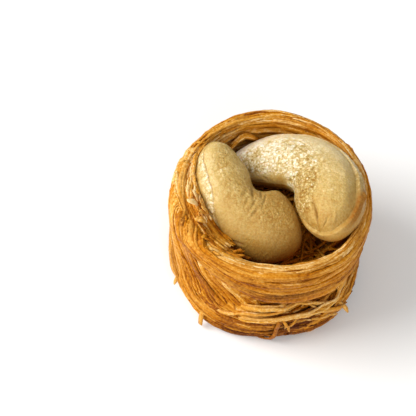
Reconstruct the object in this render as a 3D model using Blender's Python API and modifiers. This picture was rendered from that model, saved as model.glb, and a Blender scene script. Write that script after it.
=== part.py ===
"""Kataifi nest: a cup wound from threads of shredded pastry, with two whole cashews in it.

Metres, +Z up. The origin is the middle of the flat underside. +Y points to the back of the
nest, where the wall is seen from inside over the nuts, and +X to the right of it.
The nest is a solid cup with the threads that show joined to it, and each nut is a solid.
"""

import math
import random
from dataclasses import dataclass

import bmesh
import bpy
from mathutils import Euler, Vector, noise

MM = 0.001

# Driving dimensions
NEST_RADIUS = 20.6 * MM  # outside of the threads, at the widest part of the wall
NEST_HEIGHT = 26.8 * MM  # top of the rim
CUP_FLOOR = 14.6 * MM  # height of the floor that the nuts lie on
WALL = 3.1 * MM  # thickness of the wall below the rim, at the front and back
THINNER = 1.3 * MM  # how much thinner the wall is where a nut presses on it, at the right
THREAD = 0.95 * MM  # thickness of one baked thread
NUT_LENGTH = 31.0 * MM  # a large whole cashew
GAP = 0.3 * MM  # clearance between the nuts and the nest

# How the nest departs from a turned cup
FOOT_OVAL = 0.75 * MM  # half the difference between the foot's widths
FOOT_CORNERS = 0.55 * MM  # how far the foot is three-cornered
RIM_OVAL = 0.45 * MM
RIM_CORNERS = 0.3 * MM
RIM_FLARE = 0.2 * MM
LEAN = 0.6 * MM  # how far the rim stands to the left of the foot
RIM_WAVE = 0.45 * MM  # rise and fall of the rim
WAIST_DEPTH = 0.9 * MM  # hollow under the collar of threads at the front

# The winding
FIRST_LANE = 1.3 * MM  # first thread above the foot
LANE_STEP = 1.16 * MM  # distance from thread to thread up the wall
INNER_LANES = 9.0 * MM  # how far down inside the rim the threads lie in lanes
RIDGE_DEPTH = 0.42 * MM  # depth of the grooves between them
DRIFT = 1.1 * MM  # how far the lanes stray from level
CORE_SIDES = 36
PROUD_THREADS = 8  # threads that lie over the others round the wall
DIAGONAL_THREADS = 6  # threads swept down from the rim at the left
PROUD = -0.05  # height of their middles over the ridges, in threads
THREAD_SEGMENT = 3.7 * MM  # distance between the points of a thread
THREAD_SEED = 11

# The nuts
NUT_SEGMENTS = 22
NUT_RINGS = 18
SPINE_RADIUS = NUT_LENGTH * 0.44  # radius of the arc that a nut's middle line follows
BLUNTNESS = 2.5  # power of the rounding of a nut's ends: 2 is an ellipse
NOTCH = 0.28  # share of the half width taken off the inner edge at the middle of the bend
SEAM_DEPTH = 0.35 * MM


def smoothstep(low, high, value):
    """0 below low, 1 above high, and a smooth rise between them."""
    share = min(max((value - low) / (high - low), 0.0), 1.0)
    return share * share * (3.0 - 2.0 * share)


def angle_between(first, second):
    """Signed difference of two angles in radians, from -pi to pi."""
    return (first - second + math.pi) % (2.0 * math.pi) - math.pi


def section_outline():
    """The wall in section as (radius, height) points, from the foot up the outside to the floor's middle."""
    radius, height, inner = NEST_RADIUS, NEST_HEIGHT, NEST_RADIUS - WALL
    return (
        (radius * 0.935, 0.0),
        (radius * 0.995, height * 0.08),
        (radius, height * 0.26),
        (radius * 0.98, height * 0.47),
        (radius * 0.99, height * 0.68),
        (radius * 0.99, height * 0.86),
        (radius * 0.965, height * 0.965),
        (radius * 0.93, height),
        (inner + 0.4 * MM, height * 0.965),
        (inner, height * 0.86),
        (inner - 0.4 * MM, height * 0.70),
        (inner - 1.2 * MM, CUP_FLOOR + 2.0 * MM),
        (inner - 3.4 * MM, CUP_FLOOR + 0.5 * MM),
        (inner * 0.4, CUP_FLOOR),
        (0.0, CUP_FLOOR),
    )


def smooth_curve(points, steps):
    """Points of a Catmull-Rom curve through the given 2D points."""
    ends = [points[0], *points, points[-1]]
    curve = []
    for before, start, end, after in zip(ends, ends[1:], ends[2:], ends[3:]):
        for step in range(steps):
            t = step / steps
            curve.append(
                tuple(
                    0.5 * (2 * b + (c - a) * t + (2 * a - 5 * b + 4 * c - d) * t**2
                           + (3 * b - a - 3 * c + d) * t**3)
                    for a, b, c, d in zip(before, start, end, after)
                )
            )
    curve.append(points[-1])
    return curve


class Section:
    """The wall's section, read by the distance along it from the foot."""

    def __init__(self):
        self.points = smooth_curve(section_outline(), 8)
        self.distances = [0.0]
        for first, second in zip(self.points, self.points[1:]):
            self.distances.append(self.distances[-1] + math.dist(first, second))
        self.length = self.distances[-1]
        crest = max(range(len(self.points)), key=lambda i: self.points[i][1])
        self.crest = self.distances[crest]

    def at(self, distance, lift=0.0):
        """(radius, height) at a distance along the section, moved out of the surface by lift."""
        distance = min(max(distance, 0.0), self.length)
        index = 1
        while self.distances[index] < distance and index < len(self.points) - 1:
            index += 1
        (r0, z0), (r1, z1) = self.points[index - 1], self.points[index]
        span = self.distances[index] - self.distances[index - 1]
        share = (distance - self.distances[index - 1]) / span
        # Outward is to the right of the way along, as the outside is walked upwards.
        out_r, out_z = (z1 - z0) / span, (r0 - r1) / span
        return r0 + (r1 - r0) * share + out_r * lift, z0 + (z1 - z0) * share + out_z * lift


def place(radius, height, angle, inside=0.0):
    """The point of the uneven nest for one of the even, turned cup. The share inside is 1 on its inner wall."""
    share = height / NEST_HEIGHT
    waist = math.exp(-((share - 0.50) / 0.09) ** 2) * smoothstep(1.6, 0.4, abs(angle_between(angle, -1.15)))
    foot = FOOT_OVAL * math.cos(2.0 * (angle + 1.26)) + FOOT_CORNERS * math.cos(3.0 * angle + 0.9)
    rim = RIM_OVAL * math.cos(2.0 * (angle - 0.73)) + RIM_CORNERS * math.cos(3.0 * angle + 2.2) + RIM_FLARE
    outside = smoothstep(NEST_RADIUS * 0.8, NEST_RADIUS * 0.93, radius)
    thinner = THINNER * max(math.cos(angle), 0.0) ** 2 * inside
    radius += (foot + (rim - foot) * share + thinner) * smoothstep(0.0, NEST_RADIUS * 0.6, radius)
    radius -= WAIST_DEPTH * waist * outside
    height -= RIM_WAVE * math.sin(2.0 * angle + 0.3) * share**3
    return Vector((radius * math.cos(angle) - LEAN * share, radius * math.sin(angle), height))


def wall_point(section, distance, lift, angle):
    """The point of the uneven nest at a distance along the wall's section, moved out of it by lift."""
    inside = smoothstep(section.crest, section.crest + 2.5 * MM, distance)
    return place(*section.at(distance, lift), angle, inside)


def new_material(name, colour, roughness):
    """A Principled material with one colour."""
    material = bpy.data.materials.new(name)
    material.use_nodes = True
    shader = material.node_tree.nodes["Principled BSDF"]
    shader.inputs["Base Color"].default_value = (*colour, 1.0)
    shader.inputs["Roughness"].default_value = roughness
    shader.inputs["Metallic"].default_value = 0.0
    return material


def new_object(name, mesh, collection):
    """An object for a mesh, in a collection."""
    item = bpy.data.objects.new(name, mesh)
    collection.objects.link(item)
    return item


def ridge_rows(section):
    """(distance along the section, lift) of the core's rows, from the foot to the floor's middle."""
    rows = []
    distance = FIRST_LANE
    while distance < section.crest + INNER_LANES:
        rows.append((distance - LANE_STEP / 2.0, -RIDGE_DEPTH))
        rows.append((distance, 0.0))
        distance += LANE_STEP
    edge = rows[-1][0]
    for share in (0.12, 0.3, 0.6, 1.0):
        rows.append((edge + (section.length - edge) * share, -RIDGE_DEPTH))
    return rows


def lane_drift(distance, angle, section):
    """How far the lanes of threads stray from level at a place on the wall."""
    fade = smoothstep(0.0, 4.0 * MM, distance) * smoothstep(section.length, section.crest + 6.0 * MM, distance)
    ring = Vector((math.cos(angle), math.sin(angle), distance / (9.0 * MM))) * 1.3
    return DRIFT * fade * noise.noise(ring)


def build_core(collection, section):
    """The solid cup: a turned profile with a ridge for each lane of threads, then made uneven."""
    mesh = bpy.data.meshes.new("nest_core")
    rows = ridge_rows(section)
    foot = [(0.0, 0.0), (section.at(0.0)[0] - THREAD / 2.0, 0.0)]
    profile = foot + [section.at(distance, lift) for distance, lift in rows[1:]]
    profile[-1] = (0.0, profile[-1][1])
    # A Screw profile runs down its outer side, so this one starts in the cup and ends under it.
    points = [(radius, 0.0, height) for radius, height in reversed(profile)]
    mesh.from_pydata(points, [(i, i + 1) for i in range(len(points) - 1)], [])
    labels = {"distance": [0.0, 0.0] + [row[0] for row in rows[1:]],
              "lift": [0.0, 0.0] + [row[1] for row in rows[1:]]}
    for name, values in labels.items():
        mesh.attributes.new(name, "FLOAT", "POINT").data.foreach_set("value", values[::-1])
    core = new_object("nest_core", mesh, collection)
    screw = core.modifiers.new("turn", "SCREW")
    screw.steps = screw.render_steps = CORE_SIDES
    screw.use_merge_vertices = True
    screw.merge_threshold = 0.00001
    bpy.context.view_layer.update()
    turned = bpy.data.meshes.new_from_object(core.evaluated_get(bpy.context.evaluated_depsgraph_get()))
    core.modifiers.clear()
    core.data = turned

    for vertex, distance, lift in zip(turned.vertices, turned.attributes["distance"].data,
                                      turned.attributes["lift"].data):
        x, y, z = vertex.co
        angle = math.atan2(y, x)
        if distance.value > 0.0 and math.hypot(x, y) > MM:
            strayed = distance.value + lane_drift(distance.value, angle, section)
            height = lift.value
            if height == 0.0:
                height = 0.25 * MM * noise.noise(Vector((x, y, z)) * 150.0)
            vertex.co = wall_point(section, strayed, height, angle)
        elif distance.value == 0.0:
            vertex.co = place(math.hypot(x, y), z, angle)
    for name in labels:
        turned.attributes.remove(turned.attributes[name])
    return core


def wander(random_source):
    """A slow drift along a thread, as a function of its angle."""
    waves = [(random_source.uniform(0.6, 1.6), random_source.uniform(0.0, 2.0 * math.pi)) for _ in range(3)]

    def drift(angle):
        return sum(math.sin(angle * (1.0 + n) * 0.9 * rate + phase) / (1.0 + n) for n, (rate, phase) in
                   enumerate(waves)) / 1.8

    return drift


def build_thread(name, points, collection):
    """One thread as a closed four-sided tube along its points."""
    curve = bpy.data.curves.new(name, "CURVE")
    curve.dimensions = "3D"
    curve.bevel_depth = THREAD / 2.0
    curve.bevel_resolution = 0
    curve.use_fill_caps = True
    spline = curve.splines.new("POLY")
    spline.points.add(len(points) - 1)
    for slot, point in zip(spline.points, points):
        slot.co = (*point, 1.0)
    guide = new_object(name, curve, collection)
    bpy.context.view_layer.update()
    mesh = bpy.data.meshes.new_from_object(guide.evaluated_get(bpy.context.evaluated_depsgraph_get()))
    bpy.data.objects.remove(guide)
    work = bmesh.new()
    work.from_mesh(mesh)
    bmesh.ops.remove_doubles(work, verts=work.verts, dist=0.00001)
    bmesh.ops.recalc_face_normals(work, faces=work.faces)
    work.to_mesh(mesh)
    work.free()
    return new_object(name, mesh, collection)


def ring_points(section, lane, start, sweep, drift, wobble, lift):
    """Points of a thread that winds round the cup at a lane of the wall's section."""
    radius = max(section.at(lane)[0], NEST_RADIUS * 0.5)
    count = max(3, round(radius * sweep / THREAD_SEGMENT))
    points = []
    for step in range(count + 1):
        angle = start + sweep * step / count
        distance = lane + wobble * drift(angle)
        points.append(wall_point(section, distance, lift, angle))
    return points


def diagonal_points(section, lane, start, drift, sweep, lift):
    """Points of a thread that comes over the rim at the left and sweeps down to its lane at the front."""
    descent = 1.25
    count = round(NEST_RADIUS * sweep / THREAD_SEGMENT)
    points = []
    for step in range(count + 1):
        angle = start + sweep * step / count
        fall = smoothstep(-0.12, descent, angle - start)
        distance = section.crest + (lane - section.crest) * fall + 0.35 * MM * drift(angle) * fall
        points.append(wall_point(section, distance, lift, angle))
    return points


def loose_points(angle, height, reach, turn):
    """Points of a thread's end that leaves the wall near the foot and points away from it."""
    points = []
    for share in (-0.6, 0.0, 0.5, 1.0):
        radius = NEST_RADIUS - THREAD * 0.8 + reach * max(share, 0.0)
        around = angle + turn * (share - 1.0)
        points.append(Vector((radius * math.cos(around), radius * math.sin(around), height - 0.25 * reach * share)))
    return points


def build_threads(collection, section):
    """The threads that show: round the wall, swept down from the rim at the left, and inside the cup."""
    random_source = random.Random(THREAD_SEED)
    made = []

    def add(points):
        low = THREAD / 2.0 + 0.05 * MM
        made.append(build_thread(f"thread_{len(made):02d}", [Vector((x, y, max(z, low))) for x, y, z in points],
                                 collection))

    for number in range(PROUD_THREADS):
        lane = FIRST_LANE + (section.crest + 4.0 * MM - FIRST_LANE) * (number + 0.5) / PROUD_THREADS
        start = random_source.uniform(0.0, 2.0 * math.pi)
        sweep = random_source.uniform(0.9, 1.6) * math.pi
        add(ring_points(section, lane, start, sweep, wander(random_source), 0.8 * MM, PROUD * THREAD))
    for number in range(DIAGONAL_THREADS):
        share = number / (DIAGONAL_THREADS - 1)
        add(diagonal_points(section, (2.0 + 12.5 * share) * MM, math.radians(125.0 + 75.0 * share),
                            wander(random_source), random_source.uniform(2.2, 3.2), PROUD * THREAD))
    for angle, height, turn in ((-119.0, 1.6, -0.10), (-27.0, 2.2, 0.14), (-149.0, 2.6, 0.12)):
        add(loose_points(math.radians(angle), height * MM, 1.4 * MM, turn))
    return made


def keep_outer_shell(mesh):
    """Leaves the largest closed body of a joined mesh: the hollows sealed between threads are filled."""
    work = bmesh.new()
    work.from_mesh(mesh)
    waiting = set(work.faces)
    shells = []
    while waiting:
        shell, edge = set(), [waiting.pop()]
        while edge:
            face = edge.pop()
            shell.add(face)
            near = {other for side in face.edges for other in side.link_faces} & waiting
            waiting -= near
            edge.extend(near)
        shells.append(shell)
    largest = max(shells, key=len)
    spare = [face for face in work.faces if face not in largest]
    bmesh.ops.delete(work, geom=spare, context="FACES")
    work.to_mesh(mesh)
    work.free()


def join_solids(name, pieces, collection, scrap):
    """One object from overlapping closed pieces, by a Boolean union on their collection."""
    base = pieces[0]
    for piece in pieces[1:]:
        collection.objects.unlink(piece)
        scrap.objects.link(piece)
    union = base.modifiers.new("join", "BOOLEAN")
    union.operation = "UNION"
    union.operand_type = "COLLECTION"
    union.collection = scrap
    union.solver = "MANIFOLD"
    bpy.context.view_layer.update()
    mesh = bpy.data.meshes.new_from_object(base.evaluated_get(bpy.context.evaluated_depsgraph_get()))
    keep_outer_shell(mesh)
    base.modifiers.clear()
    base.data = mesh
    base.name = name
    for piece in list(scrap.objects):
        bpy.data.objects.remove(piece)
    return base


@dataclass(frozen=True)
class Nut:
    """A cashew: its sizes and bend, where the middle of its arc lies, and how it is turned, in degrees."""

    half_width: float
    half_thickness: float
    taper: float
    bend: float
    location: tuple
    rotation: tuple

    def point(self, direction, grown):
        """The place in the nest of a point of the unit sphere. The nut bends in its XY plane, round +Y."""
        x, y, z = direction
        along = math.copysign(abs(z) ** (2.0 / BLUNTNESS), z)
        ring = math.hypot(x, y)
        size = ring ** (2.0 / BLUNTNESS) * (1.0 + self.taper * along)
        side, up = (x / ring, y / ring) if ring > 1e-6 else (0.0, 0.0)
        if side > 0.0:
            outward = side * self.half_width * size - SEAM_DEPTH * math.exp(-((up / 0.22) ** 2)) * size
        else:
            outward = side * self.half_width * size * (1.0 - NOTCH * math.exp(-((along / 0.45) ** 2)))
        outward += grown * side
        turn = along * (self.bend / 2.0 + grown / SPINE_RADIUS)
        radius = SPINE_RADIUS + outward
        height = up * (self.half_thickness * size + grown)
        local = Vector((radius * math.sin(turn), radius * math.cos(turn) - SPINE_RADIUS, height))
        return self.turned() @ local + Vector(self.location) * MM

    def turned(self):
        """The nut's rotation as a matrix."""
        return Euler([math.radians(angle) for angle in self.rotation]).to_matrix()

    def build(self, name, collection, grown=0.0):
        """The nut as an object: a sphere drawn out, bent into a kidney and grooved where its halves meet."""
        mesh = bpy.data.meshes.new(name)
        work = bmesh.new()
        bmesh.ops.create_uvsphere(work, u_segments=NUT_SEGMENTS, v_segments=NUT_RINGS, radius=1.0)
        for vertex in work.verts:
            vertex.co = self.point(vertex.co.normalized(), grown)
        bmesh.ops.recalc_face_normals(work, faces=work.faces)
        work.to_mesh(mesh)
        work.free()
        mesh.shade_smooth()
        return new_object(name, mesh, collection)


CASHEW_LEFT = Nut(7.1 * MM, 5.8 * MM, -0.26, 2.09, (-7.5, -2.8, 22.7), (-13.0, -15.0, 144.0))
CASHEW_RIGHT = Nut(7.2 * MM, 5.7 * MM, 0.20, 2.82, (6.5, 7.9, 24.1), (8.5, -19.5, -40.5))


def press_in(nest, nuts):
    """Cuts the nuts' beds into the nest, with a small gap round each nut."""
    cutters = bpy.data.collections.new("nut_beds")
    cutters.hide_render = True
    bpy.context.scene.collection.children.link(cutters)
    for number, nut in enumerate(nuts):
        nut.build(f"nut_bed_{number}", cutters, GAP)
    cut = nest.modifiers.new("beds", "BOOLEAN")
    cut.operation = "DIFFERENCE"
    cut.operand_type = "COLLECTION"
    cut.collection = cutters
    cut.solver = "MANIFOLD"
    bpy.context.view_layer.update()
    mesh = bpy.data.meshes.new_from_object(nest.evaluated_get(bpy.context.evaluated_depsgraph_get()))
    keep_outer_shell(mesh)
    nest.modifiers.clear()
    nest.data = mesh
    for item in list(cutters.objects):
        bpy.data.objects.remove(item)
    bpy.data.collections.remove(cutters)


def clear_scene():
    """Removes what the scene opened with."""
    for item in list(bpy.data.objects):
        bpy.data.objects.remove(item)


def main():
    clear_scene()
    scene = bpy.context.scene
    nest_parts = bpy.data.collections.new("kataifi_nest")
    scrap = bpy.data.collections.new("joined_threads")
    scrap.hide_render = True
    scene.collection.children.link(nest_parts)
    scene.collection.children.link(scrap)

    section = Section()
    core = build_core(nest_parts, section)
    threads = build_threads(nest_parts, section)
    nest = join_solids("kataifi_nest", [core, *threads], nest_parts, scrap)
    bpy.data.collections.remove(scrap)
    press_in(nest, (CASHEW_LEFT, CASHEW_RIGHT))
    nest.data.materials.clear()
    nest.data.materials.append(new_material("baked_pastry", (0.55, 0.27, 0.07), 0.5))

    cashew = new_material("roasted_cashew", (0.72, 0.53, 0.27), 0.42)
    for name, nut in (("cashew_left", CASHEW_LEFT), ("cashew_right", CASHEW_RIGHT)):
        nut.build(name, nest_parts).data.materials.append(cashew)
    nest.data.calc_loop_triangles()
    print("nest", len(nest.data.vertices), "vertices", len(nest.data.loop_triangles), "triangles")


if __name__ == "__main__":
    main()
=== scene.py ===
"""Kataifi nest with two cashews: the finish of every surface.

Shredded pastry is wound by hand into a small cup, baked brown and brushed with syrup, and two
whole roasted cashews lie in it. The cup is a packed core, and each kind of thread over it is a
piece of its own: the bedding under the others, the body, the threads that sweep down from the rim
at the left, those that fan out below them, the collar under the rim, the rim itself, the lining,
the padding beside the left nut, the tangle on the floor, the lower band under the collar and the
loose ends. +Z is up, +Y is the back of the nest and +X is to the right of it, and angles round the
nest are measured from +X towards +Y, in degrees. Lengths are in millimetres unless a line says so.
"""

from __future__ import annotations

import logging
import math
from collections.abc import Iterator
from dataclasses import dataclass, field
from enum import Enum

import bpy
import numpy as np
from mathutils import Euler, Matrix, Vector, kdtree, noise

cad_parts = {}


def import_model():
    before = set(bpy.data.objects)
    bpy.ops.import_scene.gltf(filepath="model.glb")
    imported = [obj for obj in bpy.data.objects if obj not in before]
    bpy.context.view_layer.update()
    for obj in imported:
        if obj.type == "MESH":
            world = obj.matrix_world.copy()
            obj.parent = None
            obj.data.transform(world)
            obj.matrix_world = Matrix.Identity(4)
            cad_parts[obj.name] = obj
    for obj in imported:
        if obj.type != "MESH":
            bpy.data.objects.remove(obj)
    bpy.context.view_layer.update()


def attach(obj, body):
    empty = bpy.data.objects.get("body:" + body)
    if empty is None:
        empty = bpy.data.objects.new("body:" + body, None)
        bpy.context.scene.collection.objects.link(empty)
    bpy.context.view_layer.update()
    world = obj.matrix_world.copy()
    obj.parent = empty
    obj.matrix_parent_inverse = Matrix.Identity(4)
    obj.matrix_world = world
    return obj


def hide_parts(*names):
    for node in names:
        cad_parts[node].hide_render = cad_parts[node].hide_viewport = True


LOG = logging.getLogger("kataifi_nest")
MM = 0.001  # metres
PICTURE_SIDE = 416  # pixels, both ways
SYRUPY_SIDE = 225.0  # the angle where most syrup was taken up

Stops = tuple[tuple[float, str], ...]  # the position and sRGB hex colour of each stop
Places = tuple[tuple[float, float, float], ...]  # an angle, a height and a lift out of the wall each
Look = tuple[float | np.ndarray, float]  # how pale a thread is, all along or at each point, and its syrup


class Slot(Enum):
    """The material slots."""

    PASTRY = "baked_pastry"
    CASHEW = "roasted_cashew"


class Node(Enum):
    """The solids that the pieces stand for."""

    NEST = "kataifi_nest"
    LEFT_NUT = "cashew_left"
    RIGHT_NUT = "cashew_right"


def linear(hex_colour: str) -> tuple[float, float, float, float]:
    """Turns an sRGB hex colour into a linear one.

    Args:
        hex_colour: six hex digits after a hash.

    Returns:
        Red, green, blue and an alpha of one.
    """
    digits = hex_colour.lstrip("#")
    channels = [int(digits[i : i + 2], 16) / 255.0 for i in (0, 2, 4)]
    red, green, blue = (c / 12.92 if c <= 0.04045 else ((c + 0.055) / 1.055) ** 2.4 for c in channels)
    return red, green, blue, 1.0


def ramp(low: float, high: float, value: np.ndarray) -> np.ndarray:
    """A smooth rise from 0 at low to 1 at high, or a fall where low is the greater."""
    share = np.clip((value - low) / (high - low), 0.0, 1.0)
    return share * share * (3.0 - 2.0 * share)


def hump(middle: float, half_width: float, value: np.ndarray) -> np.ndarray:
    """A bell that is 1 in the middle and nearly 0 beyond twice its half width."""
    return np.exp(-(((value - middle) / half_width) ** 2))


def wrap(angle: np.ndarray, lowest: float) -> np.ndarray:
    """The angles, changed by whole turns until they lie in the turn that starts at the lowest."""
    return (angle - lowest) % 360.0 + lowest


def mesh_points(mesh: bpy.types.Mesh) -> np.ndarray:
    """The places of a mesh's points as they are stored, one a row."""
    flat = np.empty(len(mesh.vertices) * 3)
    mesh.vertices.foreach_get("co", flat)
    return flat.reshape(-1, 3)


def dress(mesh: bpy.types.Mesh, values: dict[str, np.ndarray], material: bpy.types.Material) -> None:
    """Gives a mesh what its finish needs, and shades it smooth.

    Args:
        mesh: the mesh.
        values: one value for each point, by the name that the finish reads.
        material: the finish.
    """
    for name, each in values.items():
        mesh.attributes.new(name, "FLOAT", "POINT").data.foreach_set("value", each)
    mesh.materials.append(material)
    mesh.shade_smooth()


def move_points(piece: bpy.types.Object, points: np.ndarray) -> None:
    """Moves the points of the chosen object and turns its faces outwards.

    Args:
        piece: the object.
        points: where its points go, one a row.
    """
    piece.data.vertices.foreach_set("co", (points * MM).ravel())
    piece.data.update()
    bpy.ops.object.mode_set(mode="EDIT")
    bpy.ops.mesh.select_all(action="SELECT")
    bpy.ops.mesh.normals_make_consistent(inside=False)
    bpy.ops.object.mode_set(mode="OBJECT")


def stand_for(piece: bpy.types.Object, node: Node, slot: Slot) -> None:
    """Makes a piece ride on the part and stand for one of its solids.

    Args:
        piece: the finished piece.
        node: the solid that it replaces.
        slot: a material slot; not used.
    """
    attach(piece, "root")
    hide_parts(node.value)
    triangles = sum(len(face.vertices) - 2 for face in piece.data.polygons)
    LOG.info("%s: %d triangles", piece.name, triangles)


class Shader:
    """A material in the making: nodes that lead to a Principled shader."""

    def __init__(self, name: str) -> None:
        """Starts a material of the given name."""
        self.material = bpy.data.materials.new(name)
        self.material.use_nodes = True
        self.tree = self.material.node_tree

    def fill(self, node: bpy.types.Node, inputs: dict[str | int, object]) -> None:
        """Fills sockets of a node.

        Args:
            node: the node.
            inputs: a value or an output socket for each named or numbered input.
        """
        for name, value in inputs.items():
            if isinstance(value, bpy.types.NodeSocket):
                self.tree.links.new(value, node.inputs[name])
            else:
                node.inputs[name].default_value = value

    def node(self, kind: str, inputs: dict[str | int, object], **settings: str | bool) -> bpy.types.Node:
        """Adds a node.

        Args:
            kind: the node's type, without what every shader node's type begins with.
            inputs: a value or an output socket for each named or numbered input.
            settings: properties of the node.

        Returns:
            The new node.
        """
        node = self.tree.nodes.new("ShaderNode" + kind)
        for name, value in settings.items():
            setattr(node, name, value)
        self.fill(node, inputs)
        return node

    def attribute(self, name: str) -> bpy.types.NodeSocket:
        """The values that the mesh holds under a name."""
        return self.node("Attribute", {}, attribute_name=name).outputs["Fac"]

    def place(self) -> bpy.types.NodeSocket:
        """Each point's place in its object."""
        return self.node("TexCoord", {}).outputs["Object"]

    def maths(self, operation: str, *values: object, clamp: bool = False) -> bpy.types.NodeSocket:
        """The outcome of a sum with values or output sockets."""
        return self.node("Math", dict(enumerate(values)), operation=operation, use_clamp=clamp).outputs[0]

    def noise(self, place: bpy.types.NodeSocket, size: float, detail: float,
              roughness: float = 0.5) -> bpy.types.Node:
        """Noise in spots of a size, with so many finer layers of the given strength."""
        return self.node("TexNoise", {
            "Vector": place, "Scale": 1.0 / (size * MM), "Detail": detail, "Roughness": roughness})

    def cells(self, place: bpy.types.NodeSocket, size: float, feature: str) -> bpy.types.NodeSocket:
        """A distance in uneven cells of a size."""
        return self.node("TexVoronoi", {"Vector": place, "Scale": 1.0 / (size * MM)},
                         feature=feature).outputs["Distance"]

    def between(self, value: bpy.types.NodeSocket, low: float, high: float, start: float,
                finish: float) -> bpy.types.NodeSocket:
        """What goes from start to finish while a value goes from low to high."""
        return self.node("MapRange", {
            "Value": value, "From Min": low, "From Max": high, "To Min": start, "To Max": finish}).outputs[0]

    def colours(self, level: bpy.types.NodeSocket, stops: Stops) -> bpy.types.NodeSocket:
        """A colour chosen by a level.

        Args:
            level: the level, from 0 to 1.
            stops: the colours that it runs through.

        Returns:
            The colour's socket.
        """
        node = self.node("ValToRGB", {0: level})
        elements = node.color_ramp.elements
        while len(elements) < len(stops):
            elements.new(1.0)
        for element, (position, colour) in zip(elements, stops):
            element.position = position
            element.color = linear(colour)
        return node.outputs["Color"]

    def mix(self, share: bpy.types.NodeSocket, first: object, second: object) -> bpy.types.NodeSocket:
        """The second colour over the first by a share."""
        return self.node("Mix", {0: share, 6: first, 7: second}, data_type="RGBA").outputs[2]

    def bump(self, height: bpy.types.NodeSocket, depth: float, strength: object) -> bpy.types.NodeSocket:
        """Relief of a depth, as the surface's direction."""
        return self.node("Bump", {
            "Strength": strength, "Distance": depth * MM, "Height": height}).outputs["Normal"]

    def finish(self, inputs: dict[str | int, object]) -> bpy.types.Material:
        """The material, once its Principled shader's inputs are filled."""
        self.fill(self.tree.nodes["Principled BSDF"], inputs)
        return self.material


@dataclass(frozen=True)
class BakedThread:
    """Kataifi thread, baked brown and brushed with syrup.

    A thread that took up syrup is a deep glassy orange and one that stayed dry is a dull straw
    colour, and each runs from burnt to pale by its own tone, with flecks along it.
    """

    name: str = "baked_kataifi_thread"
    soaked: Stops = (
        (0.0, "#4A1A00"), (0.25, "#8E4A00"), (0.5, "#BE7508"), (0.75, "#D89A34"), (1.0, "#F0CB88"))
    dry: Stops = (
        (0.0, "#5A2E08"), (0.25, "#93601C"), (0.5, "#B98336"), (0.75, "#D6A75E"), (1.0, "#F3DAA4"))
    fleck_size: float = 0.55
    grain_size: float = 0.22

    def build(self) -> bpy.types.Material:
        """Makes the material."""
        shader = Shader(self.name)
        place = shader.place()
        fleck = shader.noise(place, self.fleck_size, 3.0, 0.6).outputs["Fac"]
        grain = shader.noise(place, self.grain_size, 2.0).outputs["Fac"]
        spread = shader.maths("MULTIPLY_ADD", fleck, 0.8, -0.4)
        # The tone carries the nest's painted light and shade as well as each thread's own tone.
        level = shader.maths("ADD", shader.attribute("tone"), spread, clamp=True)
        return shader.finish({
            "Base Color": shader.mix(
                shader.attribute("syrup"), shader.colours(level, self.dry), shader.colours(level, self.soaked)),
            "Normal": shader.bump(grain, 0.09, 0.7),
            "Roughness": 0.42,
            "IOR": 1.45,
            "Specular IOR Level": 0.12,
        })


@dataclass(frozen=True)
class PackedPastry:
    """Threads pressed inside the wall: brown, dull, streaked along their winding, and dark as painted shade in
    the gaps.
    """

    name: str = "packed_pastry"
    stops: Stops = ((0.3, "#7A3E06"), (0.7, "#B8741A"))
    streak_width: float = 0.8
    squeeze: tuple[float, float, float] = (0.25, 0.25, 1.0)

    def build(self) -> bpy.types.Material:
        """Makes the material."""
        shader = Shader(self.name)
        place = shader.node("Mapping", {"Vector": shader.place(), "Scale": self.squeeze}).outputs["Vector"]
        streaks = shader.noise(place, self.streak_width, 4.0).outputs["Fac"]
        return shader.finish({
            "Base Color": shader.colours(streaks, self.stops),
            "Normal": shader.bump(streaks, 0.2, 0.8),
            "Roughness": 0.6,
        })


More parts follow.
